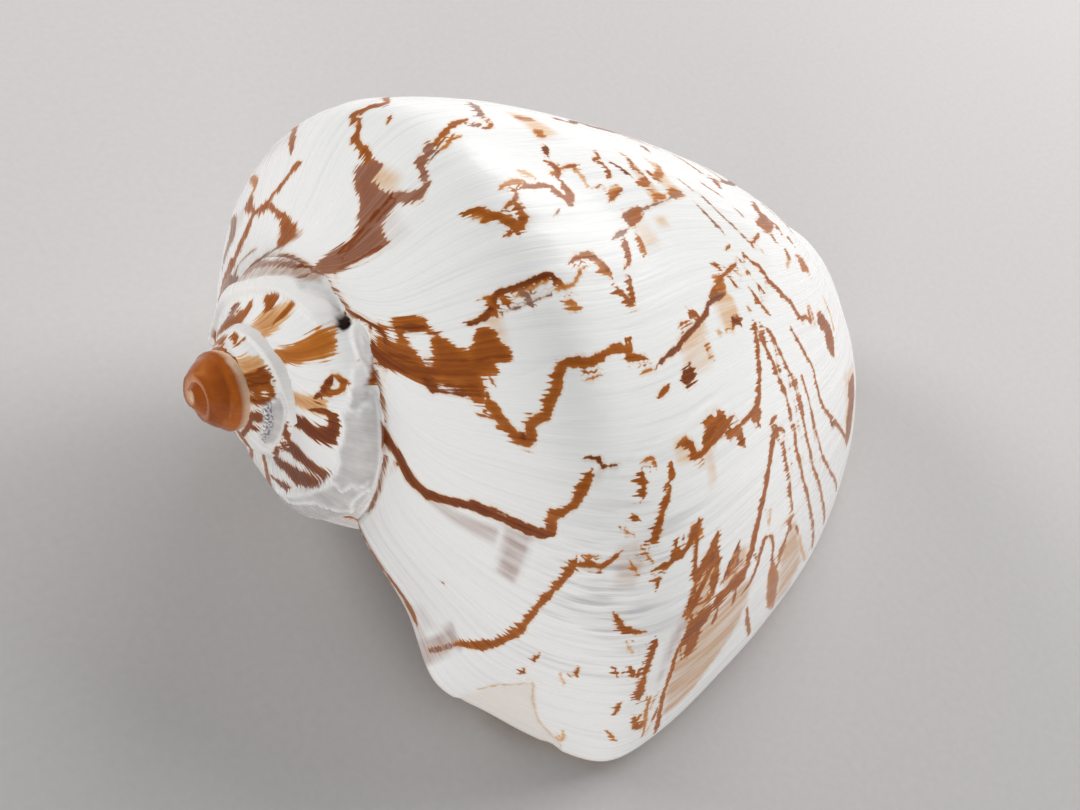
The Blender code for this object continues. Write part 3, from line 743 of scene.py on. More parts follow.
BLOTCHES = (
    Blotch(BROWN, (
        (-268, 17), (-245, 9), (-240, 3), (-234, 6), (-228, 6), (-222, 14), (-210, 39), (-206, 41),
        (-208, 45), (-213, 45), (-214, 52), (-212, 58), (-211, 70), (-204, 72), (-201, 77), (-201, 90),
        (-216, 91), (-219, 108), (-225, 110), (-223, 120), (-225, 131), (-235, 120), (-241, 116),
        (-245, 104), (-232, 88), (-231, 82), (-234, 76), (-246, 62), (-250, 58), (-258, 55), (-262, 46),
        (-266, 30), (-262, 28), (-262, 22),
    ), (
        ((-264, 19), (-252, 19), (-243, 28), (-258, 31)),
        ((-255, 34), (-246, 34), (-221, 41), (-221, 45), (-227, 50), (-247, 55), (-252, 50), (-255, 40)),
    )),
    Blotch(RUSSET, (
        (-368, 3), (-352, 3), (-342, 9), (-335, 18), (-330, 28), (-326, 42), (-324, 60), (-339, 66),
        (-342, 98), (-337, 107), (-333, 110), (-331, 120), (-332, 136), (-336, 146), (-345, 158),
        (-348, 204), (-352, 202), (-353, 190), (-350, 174), (-352, 163), (-350, 154), (-336, 136),
        (-335, 130), (-342, 114), (-350, 100), (-350, 97), (-357, 94), (-358, 66), (-352, 54), (-349, 44),
        (-349, 34),
    )),
    Blotch(RUSSET, (
        (-350, 48), (-360, 64), (-374, 79), (-379, 82), (-385, 95), (-387, 100), (-383, 107), (-382, 120),
        (-370, 119), (-369, 96), (-358, 94), (-350, 98),
    )),
    Blotch(BROWN, ((-449, 9), (-438, 9), (-411, 21), (-456, 37), (-453, 28), (-446, 20))),
    Blotch(BROWN, (
        (-512, 52), (-530, 68), (-538, 78), (-532, 85), (-524, 88), (-520, 81), (-520, 70), (-514, 60),
    )),
    Blotch(MAUVE, (
        (-610, 70), (-565, 57), (-559, 65), (-556, 80), (-560, 92), (-566, 102), (-576, 112), (-570, 92),
        (-575, 78), (-595, 76),
    )),
    Blotch(ORANGE, ((-96, 418), (-89, 418), (-88, 434), (-95, 436))),
    Blotch(BROWN, (
        (-60, 404), (-74, 430), (-84, 461), (-83, 465), (-78, 459), (-74, 463), (-69, 464), (-65, 458),
        (-56, 450), (-57, 440), (-60, 446), (-66, 448), (-70, 452), (-72, 446), (-71, 436), (-66, 424),
        (-58, 412),
    )),
    Blotch(BROWN, (
        (-47, 403), (-52, 414), (-55, 428), (-55, 444), (-52, 450), (-49, 444), (-47, 434), (-43, 435),
        (-39, 431), (-37, 419), (-40, 414), (-46, 420), (-43, 408),
    )),
    Blotch(BROWN, (
        (-53, 450), (-56, 457), (-56, 466), (-54, 474), (-58, 487), (-57, 495), (-54, 502), (-59, 508),
        (-60, 513), (-54, 512), (-51, 504), (-50, 494), (-52, 482), (-50, 455),
    )),
    Blotch(RUSSET, ((-61, 470), (-69, 496), (-66, 498), (-61, 495), (-60, 482))),
    Blotch(ORANGE, (
        (-45, 556), (-36, 551), (-20, 560), (-13, 567), (-8, 576), (-6, 582), (-24, 577), (-32, 572),
    )),
    Blotch(ORANGE, ((-47, 574), (-42, 568), (-37, 570), (-41, 580), (-47, 582))),
    Blotch(BROWN, (
        (-84, 746), (-79, 741), (-70, 740), (-62, 727), (-50, 722), (-40, 732), (-38, 744), (-46, 752),
        (-56, 758), (-64, 772), (-76, 776), (-82, 764),
    )),
    Blotch(BROWN, ((-132, 716), (-124, 716), (-117, 724), (-122, 732), (-132, 732))),
    Blotch(DARK, ((-162, 449), (-158, 445), (-155, 450), (-155, 470), (-160, 472), (-163, 462))),
    Blotch(ORANGE, ((-168, 503), (-160, 505), (-158, 511), (-166, 510))),
    Blotch(ORANGE, ((-199, 560), (-188, 550), (-186, 558), (-188, 572), (-192, 574), (-199, 572))),
    Blotch(BROWN, ((-175, 566), (-171, 564), (-169, 570), (-172, 576), (-175, 573))),
    Blotch(BROWN, (
        (-135, 470), (-131, 474), (-129, 462), (-126, 456), (-122, 456), (-125, 504), (-128, 506),
        (-134, 500), (-135, 492), (-131, 488), (-135, 482),
    )),
    Blotch(BROWN, ((-121, 500), (-118, 504), (-118, 516), (-113, 520), (-114, 527), (-120, 528))),
    Blotch(BROWN, ((-124, 546), (-116, 550), (-116, 560), (-122, 566))),
    Blotch(RUSSET, ((-248, 460), (-240, 458), (-243, 484), (-246, 500), (-248, 496))),
    Blotch(ORANGE, ((-263, 464), (-258, 452), (-257, 462), (-260, 486), (-263, 488))),
    Blotch(BROWN, ((-281, 554), (-275, 543), (-274, 550), (-279, 556))),
    Blotch(BROWN, ((-269, 548), (-264, 530), (-262, 536), (-265, 552), (-268, 554))),
    Blotch(ORANGE, ((-258, 545), (-251, 531), (-251, 552), (-254, 558))),
    Blotch(ORANGE, ((-263, 582), (-257, 568), (-254, 572), (-258, 592))),
    Blotch(ORANGE, ((-336, 452), (-330, 450), (-329, 478), (-335, 478))),
    Blotch(ORANGE, ((-318, 442), (-310, 428), (-309, 444), (-316, 456))),
    Blotch(BROWN, (
        (-160, 721), (-154, 715), (-147, 712), (-139, 720), (-130, 713), (-120, 726), (-128, 735),
        (-138, 739),
    )),
    Blotch(ORANGE, ((-205, 728), (-190, 726), (-187, 742), (-203, 744))),
    Blotch(ORANGE, (
        (-1300, 2), (-1262, 2), (-1256, 30), (-1253, 80), (-1262, 118), (-1276, 124), (-1280, 146),
        (-1283, 146), (-1283, 122), (-1290, 98), (-1286, 60), (-1286, 34),
    )),
    Blotch(TAN, (
        (-1400, 4), (-1342, 2), (-1336, 30), (-1346, 88), (-1352, 84), (-1357, 60), (-1364, 48),
        (-1376, 44), (-1390, 26),
    )),
    Blotch(BROWN, (
        (-1380, 30), (-1391, 45), (-1403, 52), (-1405, 62), (-1381, 75), (-1379, 60), (-1371, 44),
    )),
    Blotch(MAUVE, (
        (-1505, 140), (-1482, 134), (-1468, 148), (-1405, 158), (-1388, 172), (-1380, 196), (-1425, 176),
        (-1450, 172), (-1480, 200), (-1500, 190),
    )),
    Blotch(TAN, ((-1196, 0), (-1170, 0), (-1168, 30), (-1172, 58), (-1196, 56), (-1192, 30))),
    Blotch(DARK, (
        (-1141, -4), (-1118, -4), (-1117, 26), (-1132, 70), (-1165, 81), (-1174, 72), (-1168, 60),
        (-1155, 56), (-1146, 46), (-1143, 30), (-1148, 15),
    )),
    Blotch(MAROON, (
        (-1068, -4), (-1022, -4), (-1050, 32), (-1056, 50), (-1060, 71), (-1078, 73), (-1070, 30),
    )),
    Blotch(MAROON, ((-1052, 67), (-1036, 35), (-980, 4), (-950, -4), (-950, 10), (-975, 20), (-992, 45))),
    Blotch(MAROON, ((-966, 46), (-955, 40), (-895, 40), (-945, 57))),
    Blotch(BROWN, ((-1214, 152), (-1226, 170), (-1236, 200), (-1238, 270), (-1205, 270), (-1207, 180))),
    Blotch(BROWN, ((-2445, 35), (-2540, 60), (-2560, 100), (-2500, 140), (-2460, 82))),
    Blotch(BROWN, ((-2392, 60), (-2425, 86), (-2433, 108), (-2431, 128), (-2420, 138), (-2406, 115))),
    Blotch(BROWN, (
        (-2275, 8), (-2165, 6), (-2160, 30), (-2192, 112), (-2250, 120), (-2274, 108), (-2270, 60),
    ), (
        ((-2212, 52), (-2196, 50), (-2190, 70), (-2198, 92), (-2212, 84)),
        ((-2206, 2), (-2188, 2), (-2190, 24), (-2204, 26)),
    )),
    Blotch(TAN, ((-2340, 2), (-2275, 2), (-2268, 60), (-2275, 112), (-2305, 118))),
    Blotch(MAROON, ((-2116, 6), (-2088, 10), (-2104, 40), (-2118, 54), (-2134, 52), (-2130, 30))),
    Blotch(DARK, ((-2070, 8), (-2030, 2), (-2066, 46), (-2074, 40))),
)
SMEARS = (
    Smear(0.75, 2.4, ((-248, 112), (-238, 118), (-232, 126), (-236, 131), (-248, 130)), 0.0),
    Smear(0.75, 2.4, ((-372, 94), (-350, 96), (-349, 110), (-352, 123), (-372, 120)), 0.0),
    Smear(0.85, 1.6, ((-178, 458), (-170, 458), (-169, 482), (-172, 512), (-180, 514)), 0.0),
    Smear(0.55, 2.4, ((-170, 458), (-157, 460), (-156, 500), (-160, 512), (-172, 508)), 0.0),
    Smear(0.85, 1.6, ((-186, 542), (-172, 544), (-168, 556), (-176, 576), (-190, 575)), 0.0),
    Smear(0.80, 2.0, ((-240, 514), (-234, 513), (-234, 528), (-240, 532)), 0.0),
    Smear(0.50, 2.4, ((-238, 466), (-224, 464), (-226, 496), (-238, 494)), 0.0),
    Smear(0.85, 1.6, ((-286, 556), (-274, 543), (-251, 530), (-251, 556), (-272, 552)), 0.0),
    Smear(0.85, 1.6, ((-286, 600), (-272, 572), (-255, 572), (-258, 592), (-272, 588)), 0.0),
    Smear(0.75, 2.4, ((-342, 452), (-326, 442), (-310, 426), (-308, 450), (-312, 478), (-336, 486)), 0.0),
    Smear(0.85, 2.0, ((-137, 404), (-128, 404), (-121, 440), (-124, 448), (-134, 430)), 0.0),
    Smear(0.60, 1.6, ((-122, 455), (-104, 460), (-106, 468), (-122, 474)), 0.0),
    Smear(0.95, 1.6, (
        (-48, 402), (-30, 400), (-10, 410), (-10, 432), (-12, 452), (-24, 500), (-38, 516), (-47, 520),
        (-50, 500), (-49, 470), (-50, 440),
    ), 0.35),
    Smear(0.90, 1.6, ((-52, 596), (-44, 574), (-6, 584), (-4, 610), (-14, 626), (-34, 612)), 0.3),
    Smear(1.00, 1.2, (
        (-60, 406), (-52, 412), (-55, 444), (-64, 458), (-72, 462), (-76, 446), (-70, 424),
    ), 0.35),
    Smear(0.70, 1.8, ((-60, 470), (-54, 470), (-56, 500), (-64, 512), (-68, 500)), 0.2),
    Smear(0.80, 1.2, (
        (-1640, 100), (-1530, 112), (-1475, 94), (-1440, 98), (-1407, 114), (-1380, 140), (-1362, 150),
        (-1340, 190), (-1350, 232), (-1400, 236), (-1440, 190), (-1500, 180), (-1640, 180),
    ), 0.8),
    Smear(0.45, 2.0, ((-110, 282), (-90, 286), (-86, 318), (-96, 334), (-108, 322)), 0.6),
    Smear(0.60, 2.0, ((-96, 736), (-80, 732), (-60, 720), (-38, 728), (-40, 760), (-84, 782)), 0.0),
    Smear(0.70, 2.0, ((-68, 418), (-50, 384), (-30, 380), (-50, 402), (-60, 430), (-70, 450))),
    Smear(0.55, 1.6, ((-5, 2), (1, 2), (1, 130), (-6, 130))),
    Smear(0.80, 1.2, ((-34, 118), (-10, 124), (1, 122), (1, 146), (-20, 142), (-26, 146))),
    Smear(0.60, 1.8, ((-118, 26), (-111, 28), (-108, 60), (-110, 104), (-122, 106), (-116, 60))),
    Smear(0.75, 1.6, ((-124, 110), (-92, 118), (-90, 140), (-122, 143))),
    Smear(0.30, 3.0, ((-341, 56), (-320, 60), (-320, 84), (-340, 88))),
    Smear(0.30, 3.0, ((-560, 60), (-540, 62), (-536, 84), (-556, 84))),
    Smear(0.35, 2.0, ((-153, 234), (-148, 234), (-148, 248), (-154, 250))),
    Smear(0.35, 2.5, ((-19, 90), (-8, 90), (-8, 115), (-18, 114))),
    Smear(0.55, 1.0, ((-211, 56), (-204, 55), (-204, 70), (-211, 71))),
    Smear(0.40, 2.0, ((-232, 466), (-224, 464), (-224, 492), (-232, 494))),
    # Painted shadow: a soft mauve smear on the shaded side of the whorl.
    Smear(0.35, 4.0, ((-530, 145), (-480, 150), (-476, 190), (-530, 190))),
    Smear(0.30, 2.5, ((-1500, 60), (-1440, 84), (-1390, 130), (-1420, 150), (-1500, 110))),
    # Painted shade: a mauve smear on the spire's edge where it meets the next suture.
    Smear(0.40, 2.5, ((-1060, 185), (-1010, 110), (-960, 120), (-975, 270), (-1010, 240))),
)


@dataclass
class Patch:
    """A grid of vertices with their places in the shell's own coordinates."""

    points: Array
    turns: Array
    along: Array
    inside: Array

    def flat(self, skip: int = 0) -> tuple[Array, Array, Array, Array]:
        """Everything in one row, without the first few vertices."""
        values = self.points.reshape(-1, 3), self.turns.ravel(), self.along.ravel(), self.inside.ravel()
        return tuple(value[skip:] for value in values)


@dataclass(frozen=True)
class Pillar:
    """The columella: a waisted stem round the axis with four oblique folds."""

    depth: tuple = (58.0, 84.0, 106.0, 124.0, 136.0, 142.0)
    radius: tuple = (16.0, 12.6, 11.0, 9.6, 7.6, 5.0)
    fold_depth: tuple = (88.0, 99.0, 110.0, 121.0)
    fold_height: float = 2.0
    fold_width: float = 2.6
    fold_slant: float = 0.45
    fold_back: tuple = (-0.25, 0.10)
    fold_front: tuple = (0.34, 0.12)

    def build(self, coil: Coil, layout: Layout) -> Patch:
        """Rings round the axis: the stem's radius plus a bell curve for each fold, which moves forward
        with the growth and fades in and out round the stem."""
        depth = np.linspace(self.depth[0], self.depth[-1], layout.pillar_rings)[:, None]
        angle = np.linspace(0, -2 * math.pi, layout.pillar_sides, endpoint=False)[None, :]
        radius = spline(self.depth, self.radius, depth) + 0 * angle
        turn = ((angle - math.radians(coil.lip_angle)) / (2 * math.pi) - self.fold_back[0]) % 1.0
        turn = turn + self.fold_back[0]
        rise = np.clip((turn - self.fold_back[0]) / self.fold_back[1], 0, 1)
        fade = rise * np.clip((self.fold_front[0] - turn) / self.fold_front[1], 0, 1)
        for start in self.fold_depth:
            centre = start * coil.whorl_ratio ** (self.fold_slant * turn)
            radius = radius + fade * self.fold_height * bump(depth, centre, self.fold_width)
        points = coil.place(radius, depth + 0 * angle, angle + 0 * depth)
        return Patch(points, turn + 0 * depth, depth / self.depth[-1] + 0 * angle, np.ones_like(radius))


@dataclass(frozen=True)
class Rise:
    """A raised patch, or a sunken one: its height, the width of its edge and of its lifted rim."""

    height: float
    edge: float
    outline: tuple
    rim: float = 0.0


CALLUS = (
    Rise(0.95, 1.0, (
        (-1640, 50), (-1597, 54), (-1578, 66), (-1547, 68), (-1500, 58), (-1458, 54), (-1420, 62),
        (-1388, 75), (-1344, 88), (-1323, 92), (-1304, 100), (-1291, 154), (-1294, 178), (-1317, 168),
        (-1333, 148), (-1350, 128), (-1366, 142), (-1390, 122), (-1407, 107), (-1440, 92), (-1474, 88),
        (-1530, 106), (-1580, 100), (-1640, 90),
    )),
    Rise(0.35, 0.6, (
        (-1276, 196), (-1270, 186), (-1257, 172), (-1237, 171), (-1227, 140), (-1208, 118), (-1196, 118),
        (-1204, 160), (-1216, 190), (-1240, 236), (-1276, 232),
    ), 0.10),
    Rise(0.45, 0.9, (
        (-2520, 170), (-2480, 150), (-2400, 138), (-2300, 142), (-2200, 158), (-2140, 168), (-2110, 190),
        (-2110, 320), (-2520, 320),
    )),
)

GLAZE = (
    Rise(0.30, 0.6, (
        (-1208, 118), (-1200, 117), (-1190, 104), (-1178, 88), (-1160, 90), (-1143, 85), (-1126, 76),
        (-1110, 84), (-1090, 80), (-1068, 71), (-1046, 68), (-1024, 60), (-985, 54), (-951, 59),
        (-922, 77), (-904, 70), (-900, 120), (-940, 150), (-990, 176), (-1030, 196), (-1090, 200),
        (-1150, 200), (-1196, 196), (-1208, 160),
    ), 0.22),
    Rise(0.20, 0.6, (
        (-2188, 108), (-2174, 78), (-2160, 52), (-2120, 58), (-2080, 52), (-2040, 56), (-2020, 90),
        (-2060, 130), (-2110, 152), (-2160, 166), (-2200, 150),
    ), 0.10),
)

CRUST = (
    (-2170, 60), (-2160, 50), (-2120, 56), (-2080, 54), (-2040, 58), (-2040, 84), (-2090, 90),
    (-2150, 100), (-2176, 96),
)

CHIP_EDGE = (-0.2, 0.3)

CHIP = (
    (-31, 227), (-26, 215), (-20, 201), (-12, 193), (8, 188), (8, 304), (-1, 300), (-5, 282), (-10, 262),
    (-20, 241),
)


@dataclass(frozen=True)
class Ridge:
    """A raised or sunken line along the surface: its height and width in mm and its path."""

    height: float
    width: float
    path: tuple


RIDGES = (
    Ridge(-0.30, 0.45, (
        (-163, 218), (-161, 232), (-159, 244), (-154, 250), (-152, 260), (-151, 268), (-150, 278),
    )),
    Ridge(-0.22, 0.32, ((-150, 278), (-148, 320), (-143, 390), (-142, 450), (-142, 490))),
    Ridge(0.22, 0.7, ((-147, 278), (-145, 320), (-140, 390), (-139, 450), (-139, 490))),
    Ridge(-0.14, 0.30, (
        (-360, 2), (-330, 12), (-315, 25), (-309, 40), (-307, 60), (-307, 90), (-306, 113),
    )),
    Ridge(-0.14, 0.30, ((-186, 90), (-187, 140), (-184, 200), (-176, 260))),
    Ridge(-0.16, 0.32, ((-212, 60), (-214, 120), (-216, 200), (-210, 290), (-204, 380))),
    Ridge(0.16, 0.40, ((-104, 130), (-104, 200), (-100, 270), (-97, 330), (-96, 400))),
    Ridge(-0.16, 0.32, ((-100, 140), (-100, 210), (-96, 280), (-93, 340))),
    Ridge(0.14, 0.34, ((-72, 150), (-74, 220), (-72, 290), (-70, 350))),
    Ridge(-0.25, 0.5, (
        (-174, 411), (-174, 454), (-177, 482), (-180, 513), (-186, 534), (-188, 556), (-190, 580),
    )),
    Ridge(-0.18, 0.4, ((-248, 140), (-246, 170), (-245, 200), (-243, 220), (-240, 250))),
    Ridge(0.08, 0.4, ((-118, 180), (-116, 260), (-118, 330), (-124, 400), (-126, 470), (-128, 540))),
    Ridge(-0.16, 0.4, ((-344, 168), (-344, 200))),
)

TEARS = (
    Ridge(0.42, 0.34, (
        (-951, 63), (-985, 60), (-1026, 62), (-1050, 72), (-1073, 84), (-1070, 98), (-1066, 111),
        (-1074, 120), (-1082, 128), (-1080, 150), (-1087, 175),
    )),
    Ridge(0.42, 0.34, (
        (-930, 82), (-961, 79), (-985, 78), (-1006, 86), (-1014, 104), (-1022, 124), (-1024, 150),
        (-1028, 182),
    )),
    Ridge(0.36, 0.30, ((-1030, 182), (-1044, 160), (-1056, 158), (-1070, 168), (-1078, 186))),
    Ridge(0.30, 0.30, ((-1178, 90), (-1184, 110), (-1180, 130), (-1190, 150), (-1186, 176))),
    Ridge(0.26, 0.30, ((-1250, 178), (-1244, 196), (-1250, 210))),
    Ridge(0.26, 0.30, ((-1236, 172), (-1230, 186), (-1222, 190))),
)


@dataclass(frozen=True)
class Relief:
    """Height of the fine surface over the smooth coil, in millimetres.

    The wrinkle and the pleat have the middle and the width of a bell over the turns, then over the
    along. The pore has its turn, its along and its half widths in millimetres.
    """

    coil: Coil = field(default_factory=Coil)
    base: float = -0.10
    swells: tuple = ((0.20, (42, 2.5, 1)), (0.09, (150, 4, 2)), (0.03, (420, 6, 5)))
    pore: tuple = (-1.283, 0.176, 1.2, 1.2)
    pore_depth: float = 1.4
    bulb: tuple = (-4.2, 0.7)
    bulb_height: float = 1.1
    seam_height: float = 0.22
    seam_width: float = 0.45
    seam_narrow: tuple = (1.2, 0.4, 0.34)
    seam_end: tuple = (0.02, 0.12)
    seam_start: tuple = (-3.8, -3.5)
    chip_depth: float = 0.35
    rim_at: float = 0.1
    rim_width: float = 0.35
    crust_height: float = 0.12
    crust_edge: tuple = (-0.3, 0.3)
    crust_grit: tuple = (900, 260, 4)
    wrinkle: tuple = (-0.094, 0.014, 0.305, 0.055)
    wrinkle_height: float = 0.55
    wrinkle_folds: tuple = (300, 30, 3)
    wrinkle_bend: float = 0.002
    wrinkle_bends: tuple = (200, 60, 6)
    pleat: tuple = (-0.085, 0.045, 0.30, 0.13)
    pleat_height: float = 0.16
    pleat_lines: tuple = (260, 14, 8)

    def patch(self, rises: tuple, turns: Array, along: Array) -> Array:
        """Sum of the raised patches: an eased step across each edge, and a bell along it for the rim."""
        total = np.zeros(turns.shape)
        for rise in rises:
            depth = self.coil.depth_inside(rise.outline, turns, along)
            total += rise.height * ease(depth, -rise.edge / 2, rise.edge / 2)
            total += rise.rim * bump(depth, self.rim_at, self.rim_width)
        return total

    def pit(self, turns: Array, along: Array) -> Array:
        """The old bore hole beside the suture: a flat-floored bell over an ellipse, 1 at its middle."""
        across, down = self.coil.lengths(*self.pore[:2])
        x = (turns - self.pore[0]) * across / self.pore[2]
        y = (along - self.pore[1]) * down / self.pore[3]
        return np.exp(-((x * x + y * y) ** 2))

    def seam(self, turns: Array, along: Array) -> Array:
        """Welt along the suture: a bell over the distance from the suture, faded before the lip."""
        start = self.coil.surface(turns, np.zeros_like(along))
        distance = np.linalg.norm(self.coil.surface(turns, along) - start, axis=-1)
        full, slope, least = self.seam_narrow
        width = self.seam_width * np.clip(full + slope * turns, least, 1.0)
        fade = ease(-turns, *self.seam_end) * ease(turns, *self.seam_start)
        return bump(distance / width, 0.0, 1.0) * fade

    def spot(self, place: tuple, turns: Array, along: Array) -> Array:
        """Two bells, over the turns and over the along: the middle and the width of each."""
        return bump(turns, *place[:2]) * bump(along, *place[2:])

    def height(self, turns: Array, along: Array) -> Array:
        """Growth swells and ripples along the growth lines, callus, welt, scars, wrinkles and pore."""
        line = growth_line(turns, along)
        size = np.sqrt(self.coil.whorl_ratio ** turns)
        swell = sum(share * lumps(line, along, grid) for share, grid in self.swells)
        height = self.base + swell * size + self.seam_height * size * self.seam(turns, along)
        height = height + self.patch(CALLUS, turns, along) + self.patch(GLAZE, turns, along)
        chip = self.coil.depth_inside(CHIP, turns, along)
        height = height - self.chip_depth * ease(chip, *CHIP_EDGE)
        for ridge in RIDGES + TEARS:
            height = height + ridge.height * bump(self.gap(ridge, turns, along), 0.0, ridge.width)
        bend = self.wrinkle_bend * lumps(turns, along, self.wrinkle_bends)
        fold = self.wrinkle_height * self.spot(self.wrinkle, turns, along)
        height = height + fold * lumps(line + bend, along, self.wrinkle_folds)
        pleat = self.pleat_height * self.pleats(turns, along)
        height = height + pleat * lumps(line, along, self.pleat_lines)
        height = height + self.bulb_height * bump(turns, *self.bulb)
        crust = self.crust_height * ease(self.coil.depth_inside(CRUST, turns, along), *self.crust_edge)
        height = height + crust * lumps(turns, along, self.crust_grit)
        return height - self.pore_depth * self.pit(turns, along)

    def pleats(self, turns: Array, along: Array) -> Array:
        """How strongly the growth lines are pleated, most of all behind the lip."""
        return self.spot(self.pleat, turns, along)

    def gap(self, ridge: Ridge, turns: Array, along: Array) -> Array:
        """Distance in millimetres to a ridge's path."""
        path = np.array(ridge.path) * MARK_UNIT
        lengths = self.coil.lengths(*path.mean(0))
        spot = np.stack([turns, along], -1) * lengths
        pieces = [away(spot, start, end) for start, end in zip(path[:-1] * lengths, path[1:] * lengths)]
        return np.min(pieces, axis=0)


@dataclass(frozen=True)
class Lightning:
    """Markings of the side that lies away: seeded zigzags, rows of dashes, and flames on old whorls."""

    seed: int = 11
    tones: tuple = (BROWN, BROWN, ORANGE, MAROON)
    widths: tuple = (0.45, 1.1)
    comb: float = 1.1
    span: tuple = (-0.985, -0.26)
    spacing: float = 0.058
    step: tuple = (0.012, 0.034)
    swing: float = 0.0091
    start_gap: float = 0.02
    cut_chance: float = 0.16
    most_rows: int = 60
    end: float = 0.82
    seen_turns: tuple = (-1.0, -0.66, -0.60, -0.50, -0.42, -0.38, -0.34, -0.30, -0.24, 0.0)
    seen_along: tuple = (0.03, 0.07, 0.12, 0.20, 0.31, 0.42, 0.50, 0.63, 0.78, 0.84)
    dash_rows: tuple = (0.60, 0.625, 0.65, 0.68, 0.71, 0.745, 0.78)
    dash_count: int = 30
    dash_steps: tuple = (0.02, 0.06)
    dash_length: tuple = (0.008, 0.03)
    dash_half: float = 0.4
    dash_comb: float = 0.6
    dash_gap: float = 0.01
    dash_slope: int = 4
    dash_drift: float = 0.012
    drift_turn: float = 11
    drift_row: float = 40
    dash_end: float = -0.22
    flames: tuple = ((-1.95, -1.60, 0.055), (-2.98, -2.58, 0.075), (-0.90, -0.68, 0.05))
    flame: tuple = ((0.0, 6), (0.3, 50), (1.0, 110), (1.6, 150))
    flame_tip: tuple = ((20, 190), (36, 230), (50, 280))
    flame_lean: tuple = (10, 30)
    flame_widths: tuple = (0.5, 1.2)
    tip_widths: tuple = (0.5, 1.0)
    flame_comb: float = 0.3

    def zigzags(self) -> list[Stroke]:
        """Lines down the shell whose turn swings to and fro by random steps, cut into lengths."""
        rng = np.random.default_rng(self.seed)
        tones = np.array(self.tones, object)
        strokes = []
        for start in np.arange(*self.span, self.spacing):
            first = float(np.interp(start, self.seen_turns, self.seen_along)) + self.start_gap
            rows = first + np.cumsum(rng.uniform(*self.step, self.most_rows))
            rows = rows[rows < self.end]
            sway = np.cumsum(rng.choice([-1.0, 1.0], len(rows)) * rng.uniform(0.1, 1.0, len(rows)))
            turns = start + self.swing * (sway - sway.mean())
            cuts = np.flatnonzero(rng.random(len(rows)) < self.cut_chance)
            for part in np.split(np.arange(len(rows)), cuts):
                if len(part) > 1:
                    path = tuple((np.stack([turns[part], rows[part]], -1) / MARK_UNIT).round())
                    tone = rng.choice(tones)
                    strokes.append(Stroke(float(rng.uniform(*self.widths)), tone, path, self.comb))
        return strokes

    def dashes(self) -> list[Stroke]:
        """Thin broken lines round the front end, at even rows with a slow drift."""
        rng = np.random.default_rng(self.seed + 1)
        strokes = []
        for row in self.dash_rows:
            starts = np.cumsum(rng.uniform(*self.dash_steps, self.dash_count)) + self.span[0]
            for start in starts[starts < self.dash_end]:
                if row > np.interp(start, self.seen_turns, self.seen_along) + self.dash_gap:
                    drift = self.dash_drift * math.sin(self.drift_turn * start + self.drift_row * row)
                    level = (row + drift) / MARK_UNIT
                    end = (start + float(rng.uniform(*self.dash_length))) / MARK_UNIT
                    path = ((start / MARK_UNIT, level), (end, level + self.dash_slope))
                    strokes.append(Stroke(self.dash_half, BROWN, path, self.dash_comb))
        return strokes

    def tongues(self) -> list[Stroke]:
        """Slanted flames on the older whorls, evenly spaced with a random width."""
        rng = np.random.default_rng(self.seed + 2)
        strokes = []
        for first, last, spacing in self.flames:
            for turn in np.arange(first, last, spacing) / MARK_UNIT:
                lean = rng.uniform(*self.flame_lean)
                path = tuple((turn + lean * share, row) for share, row in self.flame)
                half = float(rng.uniform(*self.flame_widths))
                strokes.append(Stroke(half, BROWN, path, self.flame_comb))
                path = tuple((turn + ahead, row) for ahead, row in self.flame_tip)
                half = float(rng.uniform(*self.tip_widths))
                strokes.append(Stroke(half, MAROON, path, self.flame_comb))
        return strokes


